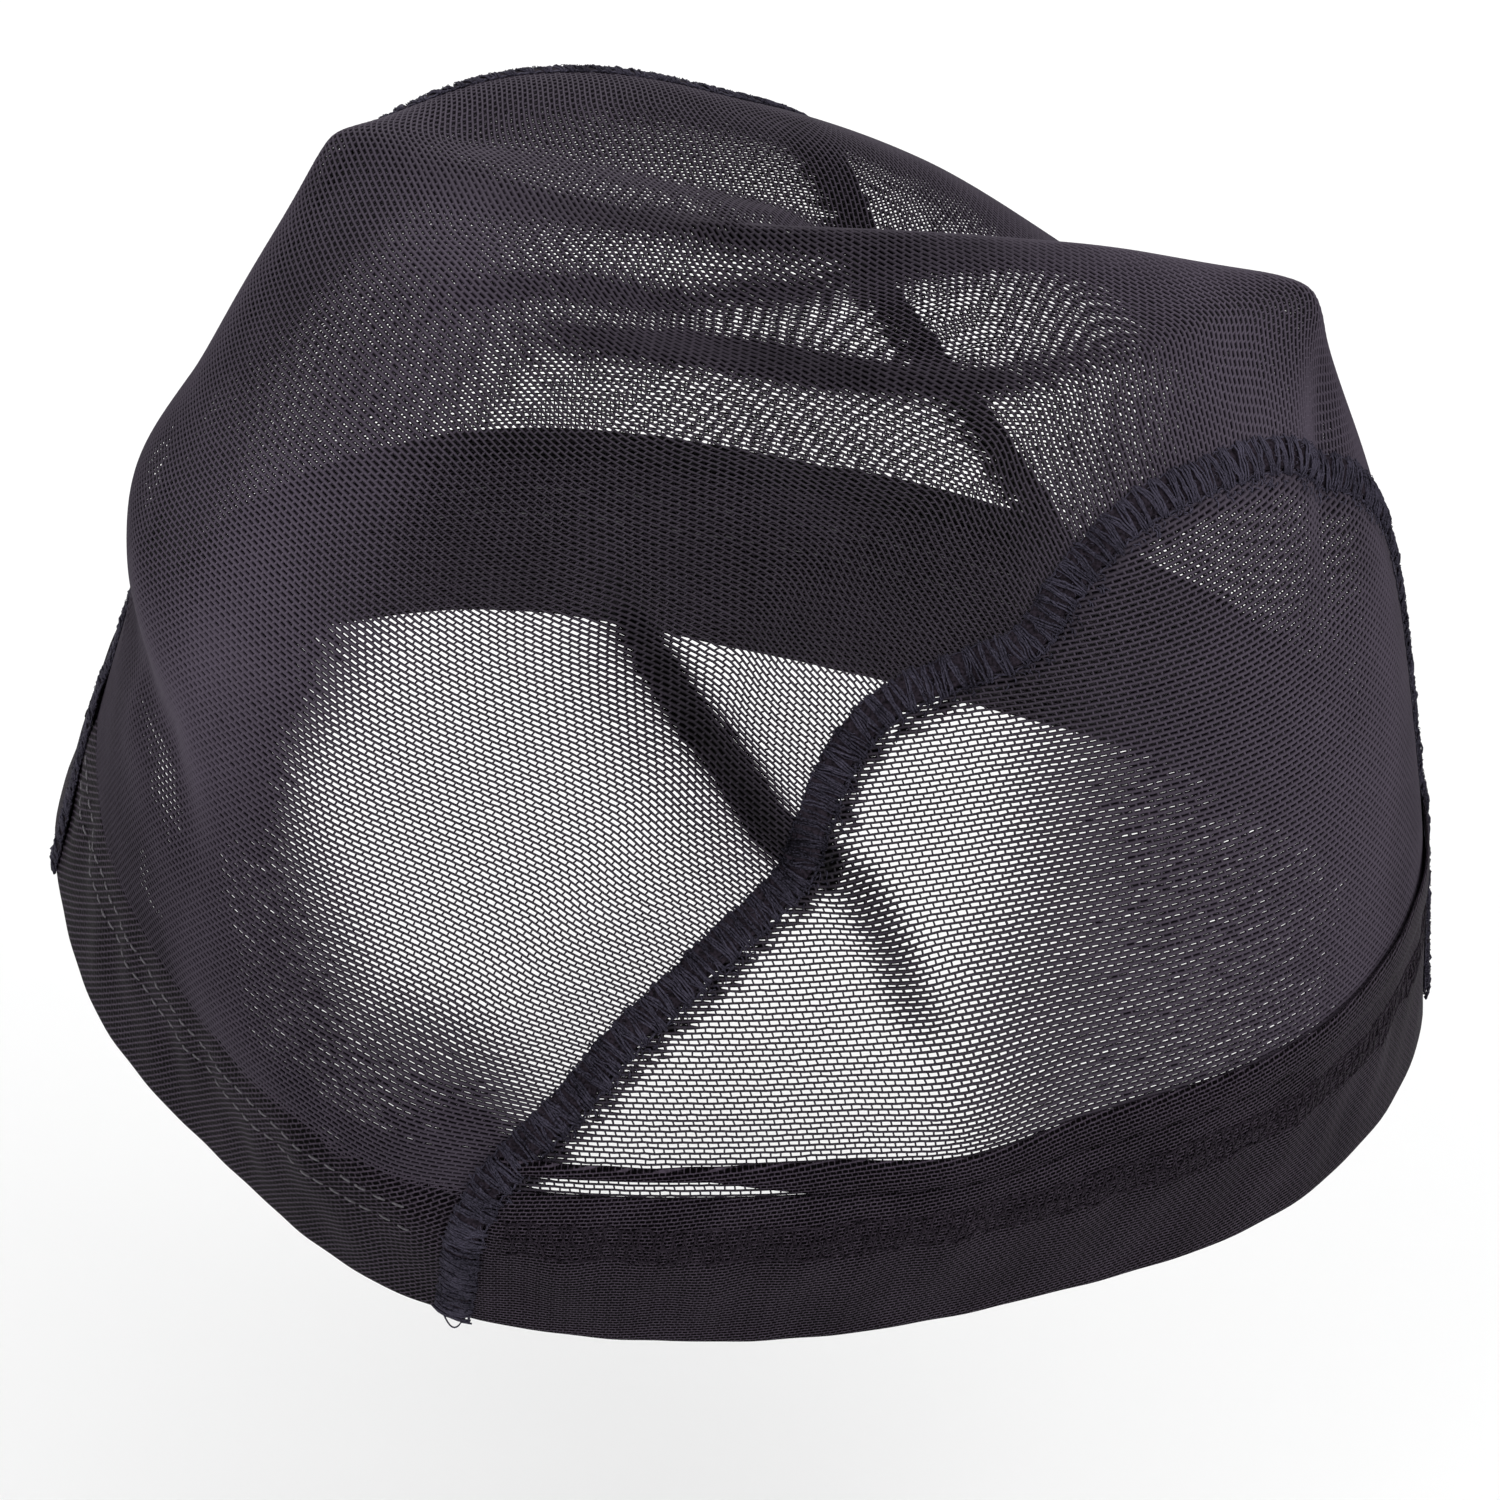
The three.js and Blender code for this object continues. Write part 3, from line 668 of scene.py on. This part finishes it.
def hemRipple(az, up):  # mm that a hem waves in and out, and the share that its stitch rows sink
    turn = np.radians(az)
    wave = sum(share * np.sin(turn * count + up * lean + start)
               for count, lean, start, share in hemForm["ripples"])
    wave = wave * np.clip(up / hemForm["rippleFrom"], hemForm["rippleAtEdge"], 1)
    wave = wave * np.clip((capForm["hemWidth"] - up) / hemForm["rippleEnds"], 0, 1)
    dip = sum(np.exp(-((up - row) / hemForm["grooveWidth"]) ** 2) for row in hemForm["stitchRows"])
    return hemForm["ripple"] * wave, hemForm["groove"] * dip


def onHem(az, up, off):  # points off mm out from the middle of the hem
    points, normals, _, _ = capFrames(toDisc(az, up / sectionLength(az)))
    wave, dip = hemRipple(az, up)
    return points + normals * (off * (1 - dip) + wave)[..., None], normals


def loopFaces(cols, ringSize, flip):  # a closed ring of points swept over the columns, capped at both ends
    index = np.arange((cols + 1) * ringSize).reshape(cols + 1, ringSize)
    after = np.roll(index, -1, axis=1)
    faces = np.stack([index[:-1], after[:-1], after[1:], index[1:]], -1).reshape(-1, 4).tolist()
    faces += [index[0, ::-1].tolist(), index[-1].tolist()]
    return [face[::-1] for face in faces] if flip else faces


def turned(along, up, grain, row):  # flat places turned to the run of the weave and counted in its rows
    c, d = math.cos(math.radians(grain)), math.sin(math.radians(grain))
    return np.stack([c * along + d * up, c * up - d * along], -1).reshape(-1, 2) / row


def hemBand(name, node, feet, tops, needleSide, grain, row):
    turn = tops[1] - tops[0]
    cols = int(abs(turn) / degree / hemForm["step"])
    half, inside = hemForm["half"], hemForm["inside"]
    low, high = hemForm["stitchRows"]
    close = np.array(hemForm["besideStitch"])
    ups = np.concatenate([hemForm["lowRows"], low + close, [(low + high) / 2], high + close,
                          hemForm["highRows"]])
    soft = np.clip((ups - hemForm["softFrom"]) / (ups[-1] - hemForm["softFrom"]), 0, 1)
    panel = np.stack([half + (hemForm["softHalf"] - half) * soft,
                      inside + (hemForm["softInside"] - inside) * soft])
    turnUp = np.stack([ups * 0 + half, ups * 0 + inside])
    outer, inner = (panel, turnUp) if needleSide > 0 else (turnUp, panel)
    fold = np.linspace(0, math.pi, 7)[1:-1]  # round the lower edge
    heights = np.concatenate([ups[::-1], half - half * np.sin(fold), ups,
                              ups[::-1], half - inside * np.sin(fold[::-1]), ups])
    offsets = np.concatenate([outer[0, ::-1], half * np.cos(fold), -inner[0],
                              -inner[1, ::-1], -inside * np.cos(fold), outer[1]])
    u = np.linspace(0, 1, cols + 1)[:, None]
    rise = heights[None, :] / capForm["hemWidth"]
    cut = hemForm["atSeam"] * degree * np.sign(turn)
    start = feet[0] + (tops[0] - feet[0]) * rise + cut
    end = feet[1] + (tops[1] - feet[1]) * rise - cut
    az = start + (end - start) * u
    points, _ = onHem(az, np.broadcast_to(heights, az.shape), offsets[None, :])
    walk = np.concatenate([[0], np.cumsum(np.hypot(np.diff(heights), np.diff(offsets)))])
    along = np.broadcast_to(u * abs(turn) / degree, az.shape)
    flat = turned(along, np.broadcast_to(-walk, az.shape), grain, row)
    band = meshPiece(name, points.reshape(-1, 3), loopFaces(cols, len(heights), turn < 0), hemCloth, flat)
    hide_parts(node)
    return band


# the turned-up layer runs on single above the stitching, and curls where it is loose
rawForm = {
    "low": 34.6,  # mm above the lower edge where it begins to show
    "high": 40.4,  # mm above the lower edge where it ends
    "uneven": [(0.3, 0.21, 0), (0.1, 0.9, 1)],  # mm, waves and start of its cut
    "half": 0.28,  # mm, half its thickness
    "middle": 1.08,  # mm out from the hem's middle
    "lift": (0.08, 0.6),  # mm and waves
    "profile": [(0, .6), (.25, 1), (.5, 1), (.75, 1), (1, .6)],  # shares of its height and thickness
    "stop": 0.002,  # share of its length that it stops short of a seam line
    "loose": {"left": (249, 279)},  # azimuths between which it is loose
    "loosens": (2, 11),  # degrees over which it comes away at the two ends
    "looseLow": 3.2,  # mm more where it is loose
    "looseHalf": 0.3,
    "looseMiddle": 0.25,
}


def rawEdge(side, tops, outside, grain, row):
    turn = tops[1] - tops[0]
    cols = int(abs(turn) / degree / hemForm["step"])
    az = (tops[0] + turn * np.linspace(rawForm["stop"], 1 - rawForm["stop"], cols + 1))[:, None]
    loose = 0 * az
    if side in rawForm["loose"]:
        first, last = rawForm["loose"][side]
        rise, fall = rawForm["loosens"]
        loose = np.clip((last - az) / fall, 0, 1) * np.clip((az - first) / rise, 0, 1)
    low = rawForm["low"] + rawForm["looseLow"] * loose
    cut = sum(size * np.sin(az * waves + start) for size, waves, start in rawForm["uneven"])
    high = rawForm["high"] + cut
    v, face = np.array(rawForm["profile"]).T
    v, face = np.append(v, v[::-1]), np.append(face, -face[::-1])
    half = rawForm["half"] + rawForm["looseHalf"] * loose
    size, waves = rawForm["lift"]
    middle = rawForm["middle"] + rawForm["looseMiddle"] * loose + size * np.sin(az * waves)
    up = low + (high - low) * v
    points, _ = onHem(np.broadcast_to(az, up.shape), up, outside * (middle + face * half))
    flat = turned(np.broadcast_to((az - tops[0]) / degree, up.shape), up + face, grain, row)
    faces = loopFaces(cols, len(v), (turn > 0) == (outside > 0))
    edge = meshPiece(side + "_hem_raw_edge", points.reshape(-1, 3), faces, hemCloth, flat)
    return edge


needleForm = {
    "stitch": 3.5,  # mm from stitch to stitch
    "dash": 2.1,  # mm of it that shows
    "thread": 0.204,  # mm radius
    "stray": (0.1, 0.12),  # degrees along the row, mm off it
    "rise": (0.04, 0.14),  # mm above the hem at the ends, more in the middle
}


def needleRows(start, end, outside):  # short straight stitches
    groups = []
    ends, more = needleForm["rise"]
    for row in hemForm["stitchRows"]:
        first = np.arange(start, end, needleForm["stitch"] * degree)[:, None]
        t = np.linspace(0, 1, 5)[None, :]
        az = first + t * needleForm["dash"] * degree + chance.normal(0, needleForm["stray"][0], first.shape)
        up = row + chance.normal(0, needleForm["stray"][1], first.shape) + 0 * t
        rise = ends + more * np.sin(math.pi * t) + 0 * az
        groups.append(threadTubes(*onHem(az, up, outside * (hemForm["half"] + rise)), needleForm["thread"]))
    return groups


looperForm = {
    "leg": 1.75,  # mm from leg to leg across the rows
    "stray": 0.14,  # share of it
    "sway": 0.45,  # mm up and down
    "beyond": 0.6,  # mm that the legs reach past the rows
    "rise": (0.02, 0.06, 0.03),  # mm above the hem at the ends, more in the middle, uneven by
    "thread": 0.18,  # mm radius
    "flat": 0.7,
    "step": 0.8,  # mm between stations of the threads along the rows
    "aside": 0.5,  # mm that the outer two lie past the rows
    "wave": (0.3, 1.9, 0.3),  # mm up and down, waves, uneven by
    "lift": (0.04, 0.05, 3.7, 0.06),  # mm above the hem, mm and waves of it, uneven by
    "alongThread": 0.192,
}


def looperRows(start, end, outside):  # threads crossing between the two rows, and three along them
    groups = []
    low, high = hemForm["stitchRows"]
    leg, beyond, aside = looperForm["leg"] * degree, looperForm["beyond"], looperForm["aside"]
    t = np.linspace(0, 1, 6)[None, :]
    ends, more, uneven = looperForm["rise"]
    for lean, ahead in ((1, 0.0), (-1, 0.5)):
        first = np.arange(start, end, leg)[:, None]
        sway = chance.normal(0, looperForm["sway"], first.shape)
        az = first + (ahead + lean * (t - 0.5) + chance.normal(0, looperForm["stray"], first.shape)) * leg
        up = low - beyond + (high - low + 2 * beyond) * t + sway
        rise = ends + more * np.sin(math.pi * t) + chance.normal(0, uneven, az.shape)
        groups.append(threadTubes(*onHem(az, up, outside * (hemForm["half"] + rise)), looperForm["thread"],
                                  flat=looperForm["flat"]))
    swing, waves, stray = looperForm["wave"]
    lift, more, lifts, uneven = looperForm["lift"]
    for row in (low - aside, high + aside, (low + high) / 2):
        az = np.arange(start, end, looperForm["step"] * degree)[None, :]
        up = row + swing * np.sin(az * waves) + chance.normal(0, stray, az.shape)
        rise = lift + more * np.sin(az * lifts + row) + chance.normal(0, uneven, az.shape)
        groups.append(threadTubes(*onHem(az, up, outside * (hemForm["half"] + rise)),
                                  looperForm["alongThread"]))
    return groups


hems, onHems = {}, {}
# feet and tops at the seams, side of the needle rows, run of the weave in degrees, mm to a row of it
around = {
    "front": ((rightSeam["frontFoot"], leftSeam["frontFoot"]),
              (rightSeam["frontTop"], leftSeam["frontTop"]), 1, 38, 1.0),
    "left": ((leftSeam["frontFoot"], leftSeam["backFoot"]),
             (leftSeam["frontTop"], leftSeam["backTop"]), -1, 6, 0.72),
    "back": ((leftSeam["backFoot"] - 360, rightSeam["backFoot"]),
             (leftSeam["backTop"] - 360, rightSeam["backTop"]), 1, 12, 0.9),
    "right": ((rightSeam["backFoot"], rightSeam["frontFoot"]),
              (rightSeam["backTop"], rightSeam["frontTop"]), -1, 6, 0.7),
}
for side, (feet, tops, needleSide, grain, row) in around.items():
    hems[side] = hemBand(side + "_hem_band", side + "_hem", feet, tops, needleSide, grain, row)
    edge = rawEdge(side, tops, -needleSide, grain, row)
    start = max(feet[0], tops[0]) + hemForm["stitchEnds"][0] * degree
    end = min(feet[1], tops[1]) - hemForm["stitchEnds"][1] * degree
    verts, faces = joined(needleRows(start, end, needleSide))
    needles = meshPiece(side + "_hem_needle_rows", verts, faces, needleThread)
    verts, faces = joined(looperRows(start, end, -needleSide))
    loopers = meshPiece(side + "_hem_looper_rows", verts, faces, looperThread)
    onHems[side] = [edge, needles, loopers]
print("hems turned up and stitched")

# overlocked seams: the raw edges lie on the outside, wrapped in bulky thread
seamForm = {
    "width": 6.2,
    "height": {"left": 1.0, "right": 0.6},
    "shoulder": (0.56, 2.6),  # widths from the middle to where its top comes down, how flat the top is
    "liftNet": 0.15,  # mm that it lies above the net
    "liftHem": 0.8,
    "comesDown": (4, 5),  # mm above the hem where that changes, and over how many mm
    "wander": (0.3, 0.12),  # mm sideways, slowly and quickly
    "wanderWaves": (0.23, 0.071, 0.9),  # radians to a mm, two slow and one quick
    # section of the cut edges: widths across, and whether it lies on top
    "section": [(-.5, 0), (-.2, 0), (.2, 0), (.5, 0), (.47, 1), (.3, 1), (0, 1), (-.3, 1), (-.47, 1)],
    "sectionStep": 1.3,  # mm
    "sectionWidth": 0.86,
    "sectionShift": 0.05,  # widths towards the strip
    "bulk": (0.2, 0.08),  # swelling in waves and by chance
    "bulkWaves": (0.41, 0.13),  # radians to a mm
    "bulkAside": (0.86, 0.1),  # shares of the width that stay and that swell
    "bulkAbove": 0.9,
    # wrapping legs
    "stitch": 3.2,  # mm from loop to loop, two legs each
    "legEnds": (0.9, 2.5),  # mm left free at the two feet
    "thread": 0.21,  # mm radius of one ply
    "plies": (-0.36, -0.18, 0.0, 0.18, 0.36),  # mm along the seam
    "slant": 0.2,
    "span": 0.98,  # widths
    "above": 0.12,  # mm
    "stray": {"slip": 0.2, "slant": 0.12, "ply": 0.14, "along": 0.13, "span": 0.07, "aside": 0.1,
              "height": 0.12, "above": 0.1},
    # chain of loops along each edge
    "chains": (-0.45, 0.45),  # widths from the middle
    "chainEnds": (0.6, 1),
    "chainStep": 0.5,
    "chainThread": 0.231,
    "chainSwing": (0.16, 0.06, 0.5),  # mm sideways, its stray and the stray of its phase
    "chainAbove": (0.2, 0.12, 0.05),  # mm, mm of waves and stray
    # filaments standing out of the thread, drawn coarser than they are
    "filaments": {"left": 1400, "right": 500},
    "filamentEnds": (1, 2),
    "filamentRun": (1.4, 1.3),  # mm along and across
    "filamentSpread": 1.05,  # widths
    "filamentAbove": (0.15, 0.35),  # mm at the ends, more in the middle
    "filament": 0.07,
    # fringe of thread beyond the wrapped edge, left seam alone
    "fringe": 600,
    "fringeEnds": (36, 4),
    "fringeRun": (1.6, 0.3),  # mm along and bent
    "fringeFrom": (0.44, 0.3),  # widths from the middle, nearest and spread
    "fringeOut": (0.36, 0.4),  # widths that it runs outwards, and share of it inwards
    "fringeAbove": (0.25, 0.1),
    "fringeThread": 0.13,
    # loose tail at the near foot of the left seam
    "tailFrom": (0.6, -0.3),  # mm along, widths across
    "tailRun": (0.5, 3.2),  # mm along and across
    "tailAbove": 1.0,
    "tailDrop": (0.5, 1.6, 0.8),  # mm forwards and down, and how full the bow is
    "tailThread": 0.14,
}


def wander(along):  # mm that the wrapped edge strays sideways
    slow, quick = seamForm["wander"]
    first, second, third = (along * wave for wave in seamForm["wanderWaves"])
    return slow * np.sin(first + 2) * np.sin(second) + quick * np.sin(third)


def onSeam(path, along, aside, above):  # points at mm along, across and above the seam
    disc = beside(path, along, aside)
    points, normals, _, _ = capFrames(disc)
    level = 1 - np.hypot(disc[..., 0], disc[..., 1])
    height = level * sectionLength(azimuthOf(disc)) - capForm["hemWidth"]
    begins, over = seamForm["comesDown"]
    onNet = np.clip((height - begins) / over, 0, 1)
    lift = seamForm["liftHem"] + onNet * (seamForm["liftNet"] - seamForm["liftHem"])
    return points + normals * (lift + above)[..., None], normals


def seamPath(seam, line):
    up = np.linspace(0, 1, 30, endpoint=False)  # stations over a hem
    front = seam["frontFoot"] + (seam["frontTop"] - seam["frontFoot"]) * up
    back = (seam["backFoot"] + (seam["backTop"] - seam["backFoot"]) * up)[::-1]
    return measured(np.vstack([toDisc(front, hemLevel(front, up * capForm["hemWidth"])), line,
                               toDisc(back, hemLevel(back, up[::-1] * capForm["hemWidth"]))]))


def seamTop(side, aside):  # height of the wrapped edge over its own width
    reach, sharp = seamForm["shoulder"]
    fall = np.abs(aside / (seamForm["width"] * reach)) ** sharp
    return seamForm["height"][side] * np.clip(1 - fall, 0, 1)


def wrappedEdge(side, path, lower):
    stations = np.arange(0, path[1][-1], seamForm["sectionStep"])[:, None]
    across, onTop = np.array(seamForm["section"], float).T
    profile = (across * seamForm["sectionWidth"] - lower * seamForm["sectionShift"]) * seamForm["width"]
    waves, uneven = seamForm["bulk"]
    first, second = (stations * wave for wave in seamForm["bulkWaves"])
    bulk = 1 + waves * np.sin(first) * np.sin(second + 1)
    bulk = bulk + chance.normal(0, uneven, stations.shape)
    stays, swells = seamForm["bulkAside"]
    aside = profile * (stays + swells * bulk) + wander(stations)
    above = onTop * seamTop(side, profile) * bulk * seamForm["bulkAbove"]
    points, _ = onSeam(path, np.broadcast_to(stations, aside.shape), aside, above)
    faces = loopFaces(len(stations) - 1, len(profile), False)
    # the cut edges in the darker looper black: partly the thread, partly painted shade between the wrapping
    # legs
    return meshPiece(side + "_seam_edge", points.reshape(-1, 3), faces, looperThread)


def wrappingLegs(side, path):  # leaning by turns
    groups = []
    width, stitch, stray = seamForm["width"], seamForm["stitch"], seamForm["stray"]
    begin, end = seamForm["legEnds"]
    t = np.linspace(0, 1, 6)[None, :]
    first = np.arange(begin, path[1][-1] - end, stitch)[:, None]
    for lean, ahead in ((1, 0.0), (-1, 0.5)):
        slip = chance.normal(0, stray["slip"], first.shape)
        slant = lean * (seamForm["slant"] + chance.normal(0, stray["slant"], first.shape))
        for ply in seamForm["plies"]:
            where = first + stitch * (ahead + slant * (t - 0.5)) + ply + slip
            where = where + chance.normal(0, stray["ply"], first.shape)
            where = where + chance.normal(0, stray["along"], where.shape)
            span = width * (seamForm["span"] + chance.normal(0, stray["span"], first.shape))
            aside = (t - 0.5) * span + wander(first) + chance.normal(0, stray["aside"], first.shape)
            above = seamTop(side, (t - 0.5) * width) * (1 + chance.normal(0, stray["height"], first.shape))
            above = above + seamForm["above"] + chance.normal(0, stray["above"], where.shape)
            groups.append(threadTubes(*onSeam(path, where, aside, above), seamForm["thread"], 3))
    return groups


def edgeChains(path):
    groups = []
    begin, end = seamForm["chainEnds"]
    swing, stray, phase = seamForm["chainSwing"]
    lift, waves, uneven = seamForm["chainAbove"]
    where = np.arange(begin, path[1][-1] - end, seamForm["chainStep"])[None, :]
    turn = where * 4 * math.pi / seamForm["stitch"]  # two loops to a stitch
    for edge in seamForm["chains"]:
        sway = swing * np.sin(turn + chance.normal(0, phase, where.shape))
        aside = edge * seamForm["width"] + sway + wander(where) + chance.normal(0, stray, where.shape)
        above = lift + waves * np.cos(turn) + chance.normal(0, uneven, where.shape)
        groups.append(threadTubes(*onSeam(path, where, aside, above), seamForm["chainThread"], 3))
    return groups


def scattered(path, count, ends):  # mm along the seam, and three more chances for each
    along, *others = (column[:, None] for column in chance.random((count, 4)).T)
    return [along * (path[1][-1] - sum(ends)) + ends[0]] + others


def filaments(side, path):
    t = np.linspace(0, 1, 4)[None, :]
    first, ahead, across, lean = scattered(path, seamForm["filaments"][side], seamForm["filamentEnds"])
    run, drift = seamForm["filamentRun"]
    ends, more = seamForm["filamentAbove"]
    across = (across - 0.5) * seamForm["width"]
    where = first + (ahead - 0.5) * run * t
    aside = across * seamForm["filamentSpread"] + (lean - 0.5) * drift * t
    above = seamTop(side, across) + ends + more * np.sin(math.pi * t)
    return [threadTubes(*onSeam(path, where, aside, above), seamForm["filament"], 3)]


def fringe(path, lower):
    t = np.linspace(0, 1, 5)[None, :]
    first, ahead, out, lean = scattered(path, seamForm["fringe"], seamForm["fringeEnds"])
    run, bend = seamForm["fringeRun"]
    nearest, spread = seamForm["fringeFrom"]
    reach, inwards = seamForm["fringeOut"]
    ends, more = seamForm["fringeAbove"]
    where = first + run * (ahead - 0.5) * t + bend * np.sin(math.pi * t)
    aside = lower * seamForm["width"] * (nearest + spread * out + (lean - inwards) * reach * t)
    above = ends + more * np.sin(math.pi * t) + 0 * where
    return [threadTubes(*onSeam(path, where, aside, above), seamForm["fringeThread"], 3)]


def looseTail(path):
    t = np.linspace(0, 1, 9)[None, :]
    along, across = seamForm["tailFrom"]
    run, drift = seamForm["tailRun"]
    forwards, down, full = seamForm["tailDrop"]
    points, normals = onSeam(path, along + run * t, across * seamForm["width"] + drift * t,
                             seamForm["tailAbove"] + 0 * t)
    bow = np.sin(math.pi * t)
    drop = np.stack([0 * t, -forwards * bow, -down * bow**full], -1)
    return [threadTubes(points + drop, normals, seamForm["tailThread"])]


for side, seam, line in (("left", leftSeam, leftLine), ("right", rightSeam, rightLine)):
    path = seamPath(seam, line)
    lower = -1 if side == "left" else 1  # towards the side panel, where only thread covers the net
    ridge = wrappedEdge(side, path, lower)
    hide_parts(side + "_seam")
    groups = wrappingLegs(side, path) + edgeChains(path) + filaments(side, path)
    if side == "left":
        groups += fringe(path, lower) + looseTail(path)
    verts, faces = joined(groups)
    # the seam threads take the net's painted light and shade where they lie
    paintedShading = fullness(verts)[1]
    threads = meshPiece(side + "_seam_threads", verts, faces, seamThread, onPoints={"paintedShading": paintedShading})
print("seams overlocked")

# the hems are drawn out by a quarter, the nets only in the middle of a panel, which the slack at its
# sides and in its folds makes up for
print("cloth declared")

# studio: soft light all round, pale floor well below, camera at the photo's angle
studio = {
    "floorZ": -150.0,
    "target": (2.5, 0.0, 48.6),
    "elevation": 35.0,
    "distance": 1000.0,
    "lens": 141.6,
    "sky": 0.75,
    "lamps": [  # place in mm, size in mm, watts
        ((-700, -900, 1100), 900, 5),
        ((900, -500, 900), 900, 6),
        ((0, 900, 900), 1000, 5),
    ],
}
bpy.ops.object.select_all(action="DESELECT")
bpy.ops.mesh.primitive_plane_add(size=12, location=(0, 0, studio["floorZ"] * mm))
floor = bpy.context.object
floor.name = "studio_floor"
bpy.ops.object.transform_apply(location=True)
paper, tree = newMaterial("matt white paper floor")
shade = addNode(tree, "ShaderNodeBsdfPrincipled", {"Base Color": hexColour("#f6f6f6"), "Roughness": 0.9})
addNode(tree, "ShaderNodeOutputMaterial", {}, {"Surface": shade.outputs[0]})
floor.data.materials.append(paper)

world = bpy.data.worlds.new("soft studio")
bpy.context.scene.world = world
world.use_nodes = True
tree = world.node_tree
tree.nodes.clear()
sky = addNode(tree, "ShaderNodeBackground", {"Color": (1, 1, 1, 1), "Strength": studio["sky"]})
addNode(tree, "ShaderNodeOutputWorld", {}, {"Surface": sky.outputs[0]})

target = np.array(studio["target"])
for n, (where, size, power) in enumerate(studio["lamps"]):
    data = bpy.data.lights.new("soft_box_%d" % n, "AREA")
    data.energy = power
    data.size = size * mm
    lamp = bpy.data.objects.new(data.name, data)
    bpy.context.scene.collection.objects.link(lamp)
    lamp.location = np.array(where) * mm
    towards = (target - np.array(where)) * mm
    lamp.rotation_euler = (math.atan2(math.hypot(towards[0], towards[1]), -towards[2]), 0,
                           math.atan2(towards[1], towards[0]) - math.pi / 2)

e = math.radians(studio["elevation"])
camera = bpy.data.objects.new("camera", bpy.data.cameras.new("camera"))
bpy.context.scene.collection.objects.link(camera)
camera.data.lens = studio["lens"]
camera.data.sensor_width = 36
camera.data.clip_end = 20
camera.location = (target + studio["distance"] * np.array([0, -math.cos(e), math.sin(e)])) * mm
camera.rotation_euler = (math.pi / 2 - e, 0, 0)
bpy.context.scene.camera = camera
bpy.context.scene.view_settings.view_transform = "Standard"
print("studio set")

bpy.context.view_layer.update()
drawn = [o for o in bpy.context.scene.objects if o.type == "MESH" and not o.hide_render]
print("triangles in all", sum(len(o.data.loop_triangles) for o in drawn))
